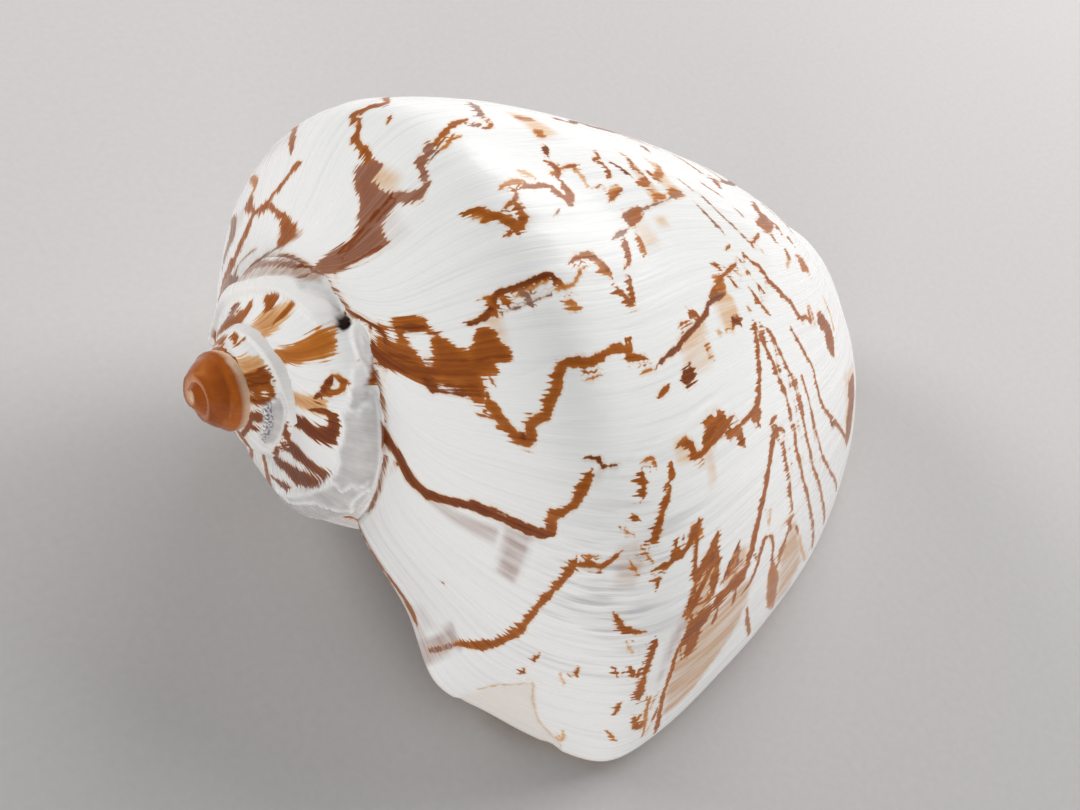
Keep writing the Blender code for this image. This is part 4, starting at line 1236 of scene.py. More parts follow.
@dataclass
class Canvas:
    """Pigment fields over the skin's vertices, which the glaze reads to draw crisp markings.

    For the nearest line a vertex keeps the signed distance to its middle, the plain distance and
    half its width. A signed distance stays exact between vertices, so thin lines stay sharp.
    """

    coil: Coil
    points: Array
    normals: Array
    turns: Array
    along: Array
    open: Array
    line: Array = field(init=False)
    line_look: Array = field(init=False)
    patch: Array = field(init=False)
    veil_and_shade: Array = field(init=False)
    far_off: float = 9.0
    reach: float = 3.2
    piece: float = 1.5
    slim: float = 0.76
    swell: float = 0.3
    swell_length: float = 2.2
    swell_rows: float = 97
    swell_seed: int = 7
    tip: float = 0.55
    taper: float = 2.5
    slope_step: float = 0.004
    least_piece: float = 1e-6
    patch_margin: float = 6.0

    def __post_init__(self) -> None:
        """Starts with bare fields."""
        count = len(self.turns)
        self.line = np.tile([self.far_off, self.far_off, 0.4], (count, 1))
        self.line_look = np.tile([0.0, 0.5, 0.0], (count, 1))
        self.patch = np.tile([-self.far_off, 0.5, 0.0], (count, 1))
        self.veil_and_shade = np.zeros((count, 3))

    def near(self, path: Array, margin: float) -> Array:
        """Numbers of the open vertices within a margin of a path's span of turns and of along."""
        lengths = self.coil.lengths(*path.mean(0))
        slack = margin / lengths
        low, high = path.min(0) - slack, path.max(0) + slack
        across = (self.turns > low[0]) & (self.turns < high[0])
        down = (self.along > low[1]) & (self.along < high[1])
        return np.flatnonzero(across & down & self.open)

    def cut(self, path: Array) -> tuple[Array, Array, Array, Array, float]:
        """Cuts a path into short straight pieces on the surface.

        Args:
            path: points as (turns, along).

        Returns:
            Each piece's start, its way, the way up the growth line there and its distance from the
            path's start, and the path's length.
        """
        corners = self.coil.surface(*path.T)
        arc = np.concatenate([[0.0], np.cumsum(np.linalg.norm(np.diff(corners, axis=0), axis=1))])
        count = max(2, int(arc[-1] / self.piece) + 2)
        at = np.union1d(np.linspace(0, arc[-1], count), arc)
        turns, along = (np.interp(at, arc, row) for row in path.T)
        knots = self.coil.surface(turns, along)
        above = self.coil.surface(turns, np.maximum(along - self.slope_step, 0))
        upward = above - self.coil.surface(turns, along + self.slope_step)
        way = np.diff(knots, axis=0)
        keep = np.linalg.norm(way, axis=1) > self.least_piece
        return knots[:-1][keep], way[keep], upward[:-1][keep], at[:-1][keep], arc[-1]

    def half_width(self, stroke: Stroke, place: Array, total: float) -> Array:
        """Half a line's width at places along it: swelled by soft noise, and narrow at both ends."""
        row = np.full_like(place, stroke.path[0][0] * MARK_UNIT * self.swell_rows)
        swell = self.slim * (1 + self.swell * cloud(place / self.swell_length, row, self.swell_seed))
        blunt = np.clip(np.minimum(place, total - place) / (self.taper * stroke.half), 0, 1)
        return stroke.half * swell * (self.tip + (1 - self.tip) * blunt)

    def draw(self, stroke: Stroke) -> None:
        """Lays a line: each vertex near it keeps the nearest piece, if this line covers it best."""
        path = np.array(stroke.path, float) * MARK_UNIT
        reach = self.reach + stroke.half
        start, way, upward, at, total = self.cut(path)
        length = np.linalg.norm(way, axis=1)
        who = self.near(path, reach)
        gap = self.points[who][:, None] - start
        part = np.clip((gap * way).sum(-1) / length**2, 0, 1)
        gap = gap - part[..., None] * way
        distance = np.linalg.norm(gap, axis=-1)
        rows, nearest = np.arange(len(who)), distance.argmin(1)
        distance, gap, part = distance[rows, nearest], gap[rows, nearest], part[rows, nearest]
        left = np.cross(self.normals[who], way[nearest] / length[nearest, None])
        sign = np.where((left * gap).sum(-1) < 0, -1.0, 1.0)
        upward = upward[nearest]
        lean = (left * upward).sum(-1) / np.linalg.norm(upward, axis=-1)
        half = self.half_width(stroke, at[nearest] + part * length[nearest], total)
        better = (half - distance > self.line[who, 2] - self.line[who, 1]) & (distance < reach)
        self.line[who[better]] = np.stack([sign * distance, distance, half], -1)[better]
        look = np.stack([lean * stroke.comb, *(np.full(len(lean), v) for v in stroke.tone.value)], -1)
        self.line_look[who[better]] = look[better]

    def fill(self, blotch: Blotch) -> None:
        """Lays a filled mark: the depth inside its outline, less the depth inside its holes."""
        who = self.near(np.array(blotch.outline) * MARK_UNIT, self.patch_margin)
        turns, along = self.turns[who], self.along[who]
        ink = self.coil.depth_inside(blotch.outline, turns, along)
        for hole in blotch.holes:
            ink = np.minimum(ink, -self.coil.depth_inside(hole, turns, along))
        better = ink > self.patch[who, 0]
        self.patch[who[better], 0] = ink[better]
        self.patch[who[better], 1:] = blotch.tone.value

    def smear(self, smear: Smear) -> None:
        """Lays a veil: its strength, eased over its soft edge."""
        who = self.near(np.array(smear.outline) * MARK_UNIT, self.patch_margin)
        depth = self.coil.depth_inside(smear.outline, self.turns[who], self.along[who])
        veil_and_shade = smear.strength * ease(depth, -smear.soft / 2, smear.soft / 2)
        better = veil_and_shade > self.veil_and_shade[who, 0]
        self.veil_and_shade[who[better], 0] = veil_and_shade[better]
        self.veil_and_shade[who, 1] = np.where(better | (self.veil_and_shade[who, 0] == 0), smear.mauve, self.veil_and_shade[who, 1])

    def paint(self) -> None:
        """Lays every marking: those of the tables, then those of the far side, which follow a rule."""
        lightning = Lightning()
        groups = (
            CREVICE_SHADE_MARKS, LIP_MARKS, SUTURE_MARKS, V_MARKS, BLOTCH_MARKS, MIDDLE_MARKS, FAR_MARKS,
            WING_MARKS, FLAME_MARKS, FRONT_MARKS, SPIRE_MARKS,
            lightning.zigzags(), lightning.dashes(), lightning.tongues(),
        )
        for stroke in (s for group in groups for s in group):
            self.draw(stroke)
        for blotch in BLOTCHES:
            self.fill(blotch)
        for veil_and_shade in SMEARS:
            self.smear(veil_and_shade)


@dataclass
class Shell:
    """The shell as one closed skin: older whorls, last whorl with its wall and rim, and the pillar."""

    coil: Coil = field(default_factory=Coil)
    layout: Layout = field(default_factory=Layout)
    relief: Relief = field(default_factory=Relief)
    pillar: Pillar = field(default_factory=Pillar)
    wall: float = 3.8
    lip_wall: float = 6.2
    wall_growth: float = 0.18
    core_radius: float = 0.3
    rim_step: float = 0.004
    nucleus_turns: tuple = (2.62, 2.72)
    body_radius: float = 50.0
    body_length: float = 150.0
    buried: tuple = (0.36, 0.42)
    cover_edge: tuple = (-0.3, 0.3)
    rim_line: tuple = (0.1, 0.3)
    tear_width: float = 0.4
    crust_edge: tuple = (-0.4, 0.4)
    pit_edge: tuple = (0.25, 0.6)
    ragged: float = 0.06
    ragged_grid: tuple = (60, 30, 5)
    seam_turns: tuple = (1.1, 1.4)
    seam_white: float = 0.8
    open_below: float = 0.99

    def skin(self, turns: Array, along: Array) -> Array:
        """Outer surface with its relief, laid along the normal."""
        lift = self.relief.height(turns, along)[..., None]
        return self.coil.surface(turns, along) + self.coil.normals(turns, along) * lift

    def back(self, turns: Array, along: Array) -> Array:
        """Inner face of the wall: the outer surface less the wall's thickness along the normal, which
        thickens towards the lip by an exponential of the turns."""
        thick = self.wall + (self.lip_wall - self.wall) * np.exp(turns / self.wall_growth)
        return self.coil.surface(turns, along) - self.coil.normals(turns, along) * thick[..., None]

    def older_whorls(self) -> Patch:
        """Rings of the whorls before the hollow: the outer surface, then back along the axis."""
        stations = np.concatenate([self.layout.near(), self.layout.buried()])
        rings = self.layout.rings(self.layout.old_spans)
        turns, along = np.meshgrid(rings, stations, indexing="ij")
        outer = self.skin(turns, along)
        way_back = np.linspace(1.0, 0.0, self.layout.axis_stations)
        back_turns, back_along = np.meshgrid(rings, way_back, indexing="ij")
        radius, depth, angle = self.coil.outside(back_turns, back_along)
        axis = self.coil.place(np.full_like(radius, self.core_radius), depth, angle)
        covered = ease(along, *self.buried)
        return Patch(
            np.concatenate([outer, axis], 1),
            np.concatenate([turns, back_turns], 1),
            np.concatenate([along, back_along], 1),
            np.concatenate([covered, np.ones_like(back_along)], 1),
        )

    def last_whorl(self) -> Patch:
        """Rings of the hollow whorl: out along the outer surface and back along the inner face, then
        the rim, whose rings follow a half circle from one face of the wall to the other. Stations of
        the inner face lie where those of the outer surface lie, so the two halves of the rim meet."""
        out_along = np.concatenate([self.layout.near(), self.layout.far()])
        way_back = np.linspace(1.0, 0.0, self.layout.inner_stations)
        in_along = np.interp(way_back, np.linspace(0.0, 1.0, len(out_along)), out_along)
        turns = self.layout.rings(self.layout.last_spans)
        outer = self.skin(*np.meshgrid(turns, out_along, indexing="ij"))
        inner = self.back(*np.meshgrid(turns, in_along, indexing="ij"))
        rounds = np.linspace(0.0, math.pi / 2, self.layout.rim_rings + 2)[1:-1, None, None]
        rim = []
        for along, sign in ((out_along, 1.0), (in_along, -1.0)):
            lip = np.zeros_like(along)
            face, behind = self.skin(lip, along), self.back(lip, along)
            onward = face - self.skin(lip - self.rim_step, along)
            onward /= np.linalg.norm(onward, axis=-1, keepdims=True)
            spread = (face - behind) / 2 * np.cos(rounds) * sign
            rim.append((face + behind) / 2 + spread + onward * self.lip_wall / 2 * np.sin(rounds))
        points = np.concatenate([np.concatenate([outer, inner], 1), np.concatenate(rim, 1)])
        along = np.concatenate([out_along, in_along])
        all_turns = np.concatenate([turns, np.zeros(self.layout.rim_rings)])
        turns_grid, along_grid = np.meshgrid(all_turns, along, indexing="ij")
        inside = np.zeros_like(along_grid)
        inside[:, len(out_along):] = 1.0
        inside[len(turns):, :len(out_along)] = np.linspace(0.0, 1.0, self.layout.rim_rings)[:, None]
        return Patch(points, turns_grid, along_grid, inside)

    def polygons(self, first: Array, second: Array, third: Array) -> list[tuple]:
        """Faces of the three grids of vertex numbers, of the seams between them and of their open ends.

        The second grid is the last whorl's, which starts on the first grid's last ring.
        """
        near = self.layout.near_stations
        out = near + self.layout.far_stations + self.layout.front_stations
        shared = near + self.layout.buried_stations
        blocks = [
            *(ring_faces(grid) for grid in (first, second, third)),
            zipper(second[0, near - 1:out], first[-1, near - 1:shared]),
            zipper(np.append(second[0, out:], first[-1, 0]), np.append(first[-1, shared:], first[-1, 0])),
            np.array([
                [second[0, out - 1], second[0, out], first[-1, shared]],
                [second[0, out - 1], first[-1, shared], first[-1, shared - 1]],
            ]),
            zipper(second[-1, out:][::-1], second[-1, :out]),
        ]
        caps = (first[0][::-1], third[0][::-1], third[-1])
        return [tuple(face) for block in blocks for face in block.tolist()] + [tuple(cap) for cap in caps]

    def build(self) -> bpy.types.Object:
        """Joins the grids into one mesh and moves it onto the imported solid."""
        older, last = self.older_whorls(), self.last_whorl()
        stem = self.pillar.build(self.coil, self.layout)
        near = self.layout.near_stations
        first = np.arange(older.turns.size).reshape(older.turns.shape)
        count = older.turns.size - near
        second = count + np.arange(last.turns.size).reshape(last.turns.shape)
        second[0, :near] = first[-1, :near]
        count += last.turns.size
        third = count + np.arange(stem.turns.size).reshape(stem.turns.shape)
        rows = [older.flat(), last.flat(near), stem.flat()]
        points, turns, along, inside = (np.concatenate(part) for part in zip(*rows))
        mesh = bpy.data.meshes.new("volute_shell")
        mesh.from_pydata((self.settle(points) * MM).tolist(), [], self.polygons(first, second, third))
        mesh.update()
        mesh.shade_smooth()
        for name, values in self.fields(turns, along, inside).items():
            mesh.attributes.new(name, "FLOAT_VECTOR", "POINT").data.foreach_set("vector", values.ravel())
        obj = bpy.data.objects.new("volute_shell", mesh)
        bpy.context.scene.collection.objects.link(obj)
        return obj

    def settle(self, points: Array) -> Array:
        """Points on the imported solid's place: its box's middle and its lowest point, and no larger."""
        low, high = (np.array(corner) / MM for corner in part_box("shell"))
        size = points.max(0) - points.min(0)
        points = points * np.minimum(1.0, (high - low) / size)
        shift = (low + high - points.min(0) - points.max(0)) / 2
        shift[2] = low[2] - points[:, 2].min()
        log.info("shift %s, size %s, room %s", shift.round(2), size.round(2), (high - low).round(2))
        return points + shift

    def fields(self, turns: Array, along: Array, inside: Array) -> dict[str, Array]:
        """What the glaze reads at each vertex: markings, covers, zones and growth coordinates.

        Growth coordinates are millimetres along the whorl at the body's width, which is the
        ratio to the power of turns over its logarithm, and millimetres down the growth line.
        """
        coil, relief = self.coil, self.relief
        spots, normals = coil.surface(turns, along), coil.normals(turns, along)
        canvas = Canvas(coil, spots, normals, turns, along, inside < self.open_below)
        canvas.paint()
        canvas.veil_and_shade[:, 2] = ease(coil.depth_inside(CHIP, turns, along), *CHIP_EDGE)
        callus, glaze = (
            [coil.depth_inside(rise.outline, turns, along) for rise in rises]
            for rises in (CALLUS, GLAZE)
        )
        covers = [ease(np.max(depths, axis=0), *self.cover_edge) for depths in (callus, glaze)]
        covers.append(ease(coil.depth_inside(CRUST, turns, along), *self.crust_edge))
        rims = [bump(depth, *self.rim_line) for depth in glaze]
        rims += [bump(relief.gap(tear, turns, along), 0.0, self.tear_width) for tear in TEARS]
        # Mask of the bore hole, which the glaze paints dark brown, partly as painted shade.
        pit = ease(relief.pit(turns, along), *self.pit_edge)
        ragged = self.ragged * lumps(turns, along, self.ragged_grid)
        nucleus = ease(-turns + ragged, *self.nucleus_turns)
        seam = self.seam_white * relief.seam(turns, along) * ease(-turns, *self.seam_turns)
        size = coil.whorl_ratio ** growth_line(turns, along)
        across = 2 * math.pi * self.body_radius * size / math.log(coil.whorl_ratio)
        down = along * self.body_length * coil.growth(turns)[1]
        return {
            "line": canvas.line,
            "line_look": canvas.line_look,
            "patch": canvas.patch,
            "veil_and_shade": canvas.veil_and_shade,
            "cover": np.stack(covers, -1),
            "edge": np.stack([np.max(rims, axis=0), pit, relief.pleats(turns, along)], -1),
            "zone": np.stack([inside, nucleus, seam], -1),
            "growth": np.stack([across, down, 0 * down], -1),
        }


def linear(code: str) -> tuple[float, float, float, float]:
    """Linear colour of an sRGB hex value: each channel through the sRGB curve."""
    channels = (int(code[k:k + 2], 16) / 255 for k in (1, 3, 5))
    return (*(c / 12.92 if c <= 0.04045 else ((c + 0.055) / 1.055) ** 2.4 for c in channels), 1.0)


def ramp(value: Socket, ends: tuple) -> dict:
    """Inputs of a range node: a value, the two ends that it is read between, and what they become."""
    return dict(enumerate((value, *ends)))


@dataclass(frozen=True)
class Grain:
    """Noise in growth coordinates: the size of its lumps in millimetres, its detail and its ends.

    Sizes are across the growth lines and down them. Ends are those of a ramp; without them the
    noise is left as it is.
    """

    across: float
    down: float
    detail: float
    ends: tuple = ()


@dataclass(frozen=True)
class Graph:
    """A material's node tree."""

    tree: bpy.types.NodeTree

    def add(self, kind: str, inputs: dict, out: int = 0, **settings) -> Socket:
        """Adds a node with its settings and links.

        Args:
            kind: the node's type.
            inputs: sockets or values by the input's name or number.
            out: number of the output to return.
            settings: properties of the node.

        Returns:
            The chosen output.
        """
        node = self.tree.nodes.new(kind)
        for name, value in settings.items():
            setattr(node, name, value)
        for key, value in inputs.items():
            if isinstance(value, Socket):
                self.tree.links.new(value, node.inputs[key])
            else:
                node.inputs[key].default_value = value
        return node.outputs[out]

    def fields(self, name: str) -> list[Socket]:
        """The three fields of a vertex attribute."""
        vector = self.add("ShaderNodeAttribute", {}, 1, attribute_name=name)
        return list(self.add("ShaderNodeSeparateXYZ", {0: vector}).node.outputs)

    def grain(self, grain: Grain) -> Socket:
        """Noise read at the growth coordinates, then spread between the grain's ends if it has any."""
        place = self.add("ShaderNodeAttribute", {}, 1, attribute_name="growth")
        scale = (1 / grain.across, 1 / grain.down, 1.0)
        scaled = self.add("ShaderNodeVectorMath", {0: place, 1: scale}, operation="MULTIPLY")
        noise = self.add("ShaderNodeTexNoise", {"Vector": scaled, "Scale": 1.0, "Detail": grain.detail})
        return self.add(RANGE, ramp(noise, grain.ends)) if grain.ends else noise


@dataclass(frozen=True)
class Porcelain:
    """Glazed aragonite, laid down in growth lines: white and glassy, with pigment under the glaze.

    The eye gets a hard gloss, faint grey growth lines painted as shade, grey painted shade in the
    pleated grooves, and orange-brown marks whose edges break into teeth along the growth lines.
    """

    white: str = "#F3F2EF"
    grey: str = "#CFD1D6"
    # Painted shade: blue-grey along the growth lines, and grey in the grooves where the growth lines are
    # pleated.
    groove_shade: str = "#A9A6A8"
    tan: str = "#E0B484"
    orange: str = "#BE7228"
    brown: str = "#A05618"
    dark: str = "#6E300E"
    mauve: str = "#8E6C60"
    veil_and_shade: str = "#B39A92"
    callus: str = "#F1EEEA"
    glaze: str = "#BFBBB9"
    crust: str = "#77727C"
    nucleus: str = "#AE5A14"
    nucleus_light: str = "#D9A062"
    nucleus_dark: str = "#7E3608"
    throat: str = "#F1D9BC"
    throat_deep: str = "#DDA678"
    # Dark brown of the bore hole: partly its own colour and partly painted shade in the hole.
    pore: str = "#3A2018"
    chip: str = "#EDE6DF"

    teeth: Grain = Grain(0.50, 10.0, 2.0, (0.44, 0.72, 0.0, 1.4))
    wobble: Grain = Grain(1.5, 1.6, 3.0, (0.3, 0.7, -0.24, 0.2))
    streak: Grain = Grain(0.8, 40.0, 3.0)
    fine: Grain = Grain(0.38, 26.0, 2.0)
    pleat: Grain = Grain(1.15, 22.0, 2.0)
    broken: Grain = Grain(1.2, 16.0, 3.0, (0.35, 0.65, 0.55, 1.20))
    cloudy: Grain = Grain(3.4, 6.0, 2.0, (0.35, 0.75, 0.0, 0.5))
    speck: Grain = Grain(0.5, 0.45, 2.0, (0.47, 0.56))
    dapple: Grain = Grain(3.0, 2.6, 2.0, (0.34, 0.68, 0.25, 1.0))
    pale: Grain = Grain(4.5, 3.0, 3.0, (0.56, 0.72, 0.0, 0.35))
    warm: Grain = Grain(30.0, 24.0, 2.0, (0.35, 0.65))

    growth_line_shade_ramp: tuple = (0.54, 0.78, 0.0, 0.40)
    groove_shade_ramp: tuple = (0.34, 0.50, 0.60, 0.0)
    middle_tone: tuple = (0.0, 1.2, -0.10, 0.12)
    streak_tone: tuple = (0.35, 0.75, -0.07, 0.16)
    mauve_fade: tuple = (0.46, 0.62, 0.0, 0.85)
    tone_steps: tuple = (0.05, 0.34, 0.60, 1.0)
    tooth_sides: tuple = (-0.5, 0.5, 0.25, 1.0)
    double_width: float = 0.45
    patch_teeth: float = 0.7
    halo: tuple = (-0.55, -0.02, 0.0, 0.42)
    sharp: tuple = (-0.10, 0.10)

    worn: tuple = (0.3, 0.7, 0.20, 0.33)
    crust_rough: float = 0.4
    relief_share: tuple = (0.6, 0.4, 3.0)
    relief_depth: float = 0.18
    relief_strength: float = 0.9
    gloss: float = 0.35
    coat: float = 0.18
    coat_roughness: float = 0.05

    def ground(self, graph: Graph, streak: Socket, pleat: Socket, pleats: Socket) -> Socket:
        """White glaze with painted shade along the growth lines and in the pleated grooves, and smears.
        """
        smear, is_mauve, _ = graph.fields("veil_and_shade")
        shade = graph.add(RANGE, ramp(streak, self.growth_line_shade_ramp))
        groove_shade = graph.add(RANGE, ramp(pleat, self.groove_shade_ramp))
        groove_shade = graph.add(MATH, {0: groove_shade, 1: pleats}, operation="MULTIPLY")
        broken = graph.grain(self.broken)
        smear = graph.add(MATH, {0: smear, 1: broken}, operation="MULTIPLY", use_clamp=True)
        # Smears are pigment under the glaze, and two of them are painted shade.
        veil_and_shade = graph.add(MIX, {0: is_mauve, 6: linear(self.tan), 7: linear(self.veil_and_shade)}, **BLEND)
        colour = linear(self.white)
        for cover, tint in ((shade, linear(self.grey)), (groove_shade, linear(self.groove_shade)), (smear, veil_and_shade)):
            colour = graph.add(MIX, {0: cover, 6: colour, 7: tint}, **BLEND)
        return colour

    def line_ink(self, graph: Graph, wobble: Socket, teeth: Socket) -> Mark:
        """Depth of the ink of lines in millimetres: the half width and its teeth less the distance.

        Teeth are longer on the side towards the suture. The plain distance cuts off what lies
        between two lines, where the signed one passes through zero.
        """
        side, far, half = graph.fields("line")
        lean, tone, mauve = graph.fields("line_look")
        facing = graph.add(MATH, {0: side, 1: lean}, operation="MULTIPLY")
        bias = graph.add(RANGE, ramp(facing, self.tooth_sides))
        steep = graph.add(MATH, {0: lean}, operation="ABSOLUTE")
        length = graph.add(MATH, {0: teeth, 1: steep}, operation="MULTIPLY")
        length = graph.add(MATH, {0: length, 1: bias}, operation="MULTIPLY")
        reach = graph.add(MATH, {0: half, 1: length}, operation="ADD")
        reach = graph.add(MATH, {0: reach, 1: wobble}, operation="ADD")
        plain = graph.add(MATH, {0: side}, operation="ABSOLUTE")
        near = graph.add(MATH, {0: reach, 1: plain}, operation="SUBTRACT")
        wide = graph.add(MATH, {0: reach, 1: far}, operation="SUBTRACT")
        wide = graph.add(MATH, {0: wide, 1: self.double_width}, operation="ADD")
        return graph.add(MATH, {0: near, 1: wide}, operation="MINIMUM"), tone, mauve

    def patch_ink(self, graph: Graph, wobble: Socket, teeth: Socket) -> Mark:
        """Depth of the ink of filled marks in millimetres, with teeth on every edge."""
        ink, tone, mauve = graph.fields("patch")
        ink = graph.add(MATH, {0: ink, 1: wobble}, operation="ADD")
        tooth = graph.add(MATH, {0: teeth, 1: self.patch_teeth}, operation="MULTIPLY")
        return graph.add(MATH, {0: ink, 1: tooth}, operation="ADD"), tone, mauve

    def pigment(self, graph: Graph, mark: Mark, streak: Socket) -> Socket:
        """Colour of a mark from its tone, darker in its middle and along some growth lines."""
        ink, tone, mauve = mark
        level = tone
        for change in (ramp(ink, self.middle_tone), ramp(streak, self.streak_tone)):
            level = graph.add(MATH, {0: level, 1: graph.add(RANGE, change)}, operation="ADD")
        colour = linear(self.tan)
        inks = (self.orange, self.brown, self.dark)
        for start, end, code in zip(self.tone_steps, self.tone_steps[1:], inks):
            step = graph.add(RANGE, {0: level, 1: start, 2: end})
            colour = graph.add(MIX, {0: step, 6: colour, 7: linear(code)}, **BLEND)
        faded = graph.add(RANGE, ramp(streak, self.mauve_fade))
        dusky = graph.add(MIX, {0: faded, 6: linear(self.mauve), 7: linear(self.veil_and_shade)}, **BLEND)
        return graph.add(MIX, {0: mauve, 6: colour, 7: dusky}, **BLEND)

    def markings(self, graph: Graph, colour: Socket, streak: Socket) -> Socket:
        """Marks laid on the ground: a tan halo, then patches, then lines, then the bare chip."""
        teeth, wobble = graph.grain(self.teeth), graph.grain(self.wobble)
        patch, line = self.patch_ink(graph, wobble, teeth), self.line_ink(graph, wobble, teeth)
        most = graph.add(MATH, {0: line[0], 1: patch[0]}, operation="MAXIMUM")
        halo = graph.add(RANGE, ramp(most, self.halo))
        colour = graph.add(MIX, {0: halo, 6: colour, 7: linear(self.tan)}, **BLEND)
        for mark in (patch, line):
            cover = graph.add(RANGE, ramp(mark[0], self.sharp))
            tint = self.pigment(graph, mark, streak)
            colour = graph.add(MIX, {0: cover, 6: colour, 7: tint}, **BLEND)
        chip = graph.fields("veil_and_shade")[2]
        return graph.add(MIX, {0: chip, 6: colour, 7: linear(self.chip)}, **BLEND)

    def covers(self, graph: Graph, colour: Socket, crusty: Socket) -> Socket:
        """What lies over the marks: callus, the scar's dull glaze, crust, the brown first whorls, the
        white seam, the bore hole's dark brown, partly painted shade, and the cream inside."""
        callus, glaze, _ = graph.fields("cover")
        rim, pit, _ = graph.fields("edge")
        inside, nucleus, seam = graph.fields("zone")
        cloudy, dapple, pale = (graph.grain(g) for g in (self.cloudy, self.dapple, self.pale))
        sheet = graph.add(MIX, {0: cloudy, 6: linear(self.glaze), 7: linear(self.callus)}, **BLEND)
        sheet = graph.add(MIX, {0: rim, 6: sheet, 7: linear(self.white)}, **BLEND)
        bulb = graph.add(MIX, {0: dapple, 6: linear(self.nucleus_dark), 7: linear(self.nucleus)}, **BLEND)
        bulb = graph.add(MIX, {0: pale, 6: bulb, 7: linear(self.nucleus_light)}, **BLEND)
        warm = graph.grain(self.warm)
        throat = graph.add(MIX, {0: warm, 6: linear(self.throat), 7: linear(self.throat_deep)}, **BLEND)
        for cover, tint in (
            (callus, linear(self.callus)), (glaze, sheet), (crusty, linear(self.crust)), (nucleus, bulb),
            (seam, linear(self.callus)), (pit, linear(self.pore)), (inside, throat),
        ):
            colour = graph.add(MIX, {0: cover, 6: colour, 7: tint}, **BLEND)
        return colour

    def build(self) -> bpy.types.Material:
        """Lays the colours one over another, then the gloss and the fine growth lines."""
        material = bpy.data.materials.new("glazed aragonite")
        material.use_nodes = True
        shader = material.node_tree.nodes["Principled BSDF"]
        graph = Graph(material.node_tree)
        streak, fine, pleat = (graph.grain(g) for g in (self.streak, self.fine, self.pleat))
        pleats = graph.fields("edge")[2]
        crust = graph.fields("cover")[2]
        crusty = graph.add(MATH, {0: crust, 1: graph.grain(self.speck)}, operation="MULTIPLY")
        colour = self.ground(graph, streak, pleat, pleats)
        colour = self.markings(graph, colour, streak)
        colour = self.covers(graph, colour, crusty)

        dull = graph.add(MATH, {0: crusty, 1: self.crust_rough}, operation="MULTIPLY")
        rough = graph.add(MATH, {0: graph.add(RANGE, ramp(fine, self.worn)), 1: dull}, operation="ADD")
        pleated = graph.add(MATH, {0: pleat, 1: pleats}, operation="MULTIPLY")
        lines = 0.0
        for height, share in zip((streak, fine, pleated), self.relief_share):
            part = graph.add(MATH, {0: height, 1: share}, operation="MULTIPLY")
            lines = graph.add(MATH, {0: lines, 1: part}, operation="ADD")
        depth = {"Height": lines, "Distance": self.relief_depth * MM, "Strength": self.relief_strength}
        graph.tree.links.new(colour, shader.inputs["Base Color"])
        graph.tree.links.new(rough, shader.inputs["Roughness"])
        graph.tree.links.new(graph.add("ShaderNodeBump", depth), shader.inputs["Normal"])
        shader.inputs["Specular IOR Level"].default_value = self.gloss
        shader.inputs["Coat Weight"].default_value = self.coat
        shader.inputs["Coat Roughness"].default_value = self.coat_roughness
        return material


@dataclass(frozen=True)
class Paper:
    """Matt seamless paper: even and pale, without a sheen."""

    light: str = "#C9C6C4"
    shade: str = "#BFBCBB"
    fibre: float = 1.5
    roughness: float = 0.9

    def build(self) -> bpy.types.Material:
        """Two close greys in soft fibres, in object coordinates."""
        material = bpy.data.materials.new("matt paper")
        material.use_nodes = True
        shader = material.node_tree.nodes["Principled BSDF"]
        graph = Graph(material.node_tree)
        place = graph.add("ShaderNodeTexCoord", {}, 3)
        scale = 1 / (self.fibre * MM)
        fibres = graph.add("ShaderNodeTexNoise", {"Vector": place, "Scale": scale, "Detail": 4.0})
        greys = graph.add(MIX, {0: fibres, 6: linear(self.light), 7: linear(self.shade)}, **BLEND)
        graph.tree.links.new(greys, shader.inputs["Base Color"])
        shader.inputs["Roughness"].default_value = self.roughness
        return material


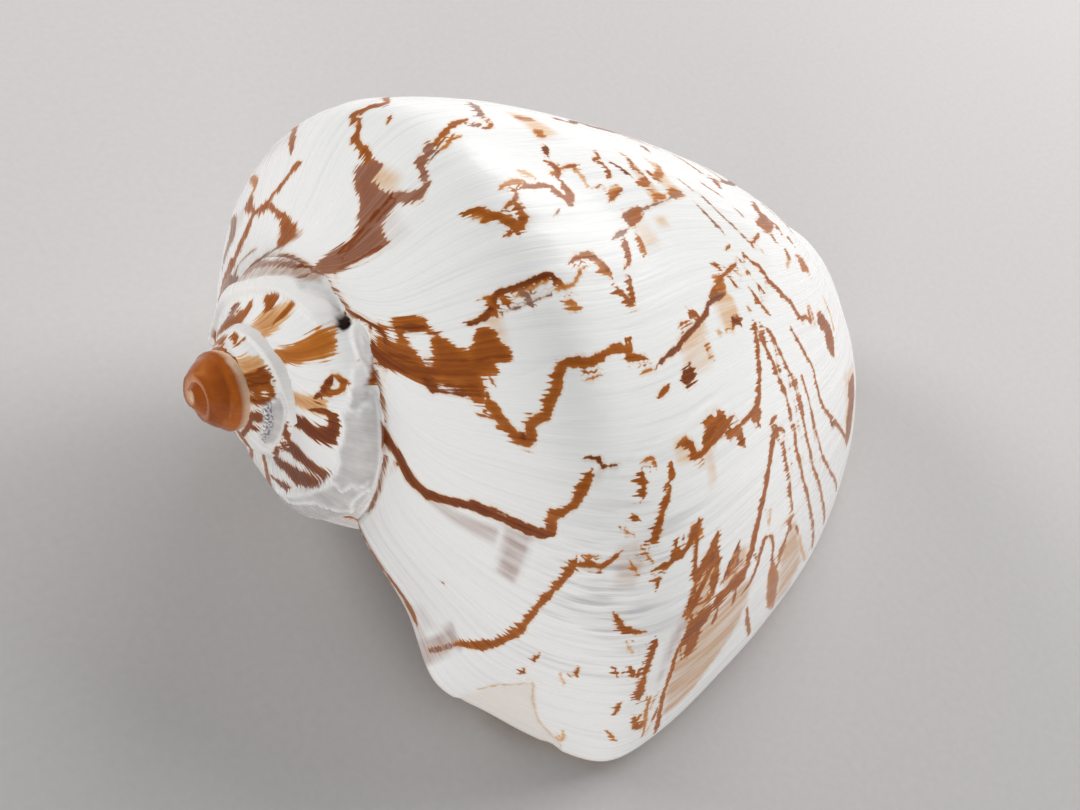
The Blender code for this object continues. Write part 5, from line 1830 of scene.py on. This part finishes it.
@dataclass(frozen=True)
class Studio:
    """Pale floor, soft lights and the camera.

    A window has a name, the degrees round and up at which it stands, its distance and width in
    metres, its watts, and whether it shows in the gloss. The eye is in millimetres, angles are in
    degrees, and other lengths are in metres, but for the lens and the sensor in millimetres.
    """

    eye: tuple = (-127.98, -90.71, 205.89)
    azimuth: float = 37.93
    pitch: float = 50.13
    roll: float = 23.05
    lens: float = 43.33
    sensor: float = 36.0
    aim: tuple = (0.0, 0.0, 0.03)
    windows: tuple = (
        ("back window", 26, 42, 1.2, 1.2, 9.2, True),
        ("right window", 0, 25, 1.2, 0.6, 8.2, False),
        ("side window", 120, 25, 1.2, 0.6, 8.4, False),
        ("left window", -132, 9, 1.2, 0.5, 7.2, False),
    )
    window_shape: float = 0.6
    room: str = "#EAEEF4"
    room_strength: float = 0.22
    floor_half: float = 5.0
    nearest: float = 0.01

    def floor(self) -> bpy.types.Object:
        """A flat square under the shell."""
        half = self.floor_half
        mesh = bpy.data.meshes.new("floor")
        corners = [(-half, -half, 0), (half, -half, 0), (half, half, 0), (-half, half, 0)]
        mesh.from_pydata(corners, [], [(0, 1, 2, 3)])
        obj = bpy.data.objects.new("floor", mesh)
        bpy.context.scene.collection.objects.link(obj)
        mesh.materials.append(Paper().build())
        return obj

    def lights(self) -> None:
        """A large window behind the shell, dull low ones on three sides, and a dim room."""
        for name, azimuth, height, distance, wide, power, glossy in self.windows:
            lamp = bpy.data.lights.new(name, "AREA")
            lamp.shape = "RECTANGLE"
            lamp.size = wide
            lamp.size_y = wide * self.window_shape
            lamp.energy = power
            around, up = math.radians(azimuth), math.radians(height)
            flat = distance * math.cos(up)
            obj = bpy.data.objects.new(name, lamp)
            obj.location = (flat * math.cos(around), flat * math.sin(around), distance * math.sin(up))
            obj.visible_glossy = glossy
            obj.rotation_mode = "QUATERNION"
            obj.rotation_quaternion = (Vector(self.aim) - obj.location).to_track_quat("-Z", "Y")
            bpy.context.scene.collection.objects.link(obj)
        world = bpy.data.worlds.new("room")
        bpy.context.scene.world = world
        world.use_nodes = True
        background = world.node_tree.nodes["Background"]
        background.inputs["Color"].default_value = linear(self.room)
        background.inputs["Strength"].default_value = self.room_strength
        bpy.context.scene.view_settings.view_transform = "Standard"

    def camera(self) -> bpy.types.Object:
        """The camera: forward from azimuth and pitch, then turned about it by the roll."""
        azimuth, pitch, roll = (math.radians(a) for a in (self.azimuth, self.pitch, self.roll))
        flat = np.array([math.cos(azimuth), math.sin(azimuth), 0.0])
        forward = flat * math.cos(pitch) - np.array([0.0, 0.0, math.sin(pitch)])
        level = np.cross(flat, [0.0, 0.0, 1.0])
        rise = np.cross(level, forward)
        right = level * math.cos(roll) + rise * math.sin(roll)
        up = rise * math.cos(roll) - level * math.sin(roll)
        data = bpy.data.cameras.new("camera")
        data.sensor_width = self.sensor
        data.lens = self.lens
        data.clip_start = self.nearest
        obj = bpy.data.objects.new("camera", data)
        turn = Matrix(np.column_stack([right, up, -forward]).tolist()).to_4x4()
        obj.matrix_world = Matrix.Translation([c * MM for c in self.eye]) @ turn
        bpy.context.scene.collection.objects.link(obj)
        bpy.context.scene.camera = obj
        return obj


def main() -> None:
    """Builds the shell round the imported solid, then the studio."""
    logging.basicConfig(level=logging.INFO, format="%(name)s: %(message)s")
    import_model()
    shell = Shell().build()
    shell.data.materials.append(Porcelain().build())
    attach(shell, "root")
    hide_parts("shell")
    log.info("volute_shell: %d triangles", sum(len(p.vertices) - 2 for p in shell.data.polygons))
    studio = Studio()
    studio.floor()
    studio.lights()
    studio.camera()


if __name__ == "__main__":
    main()
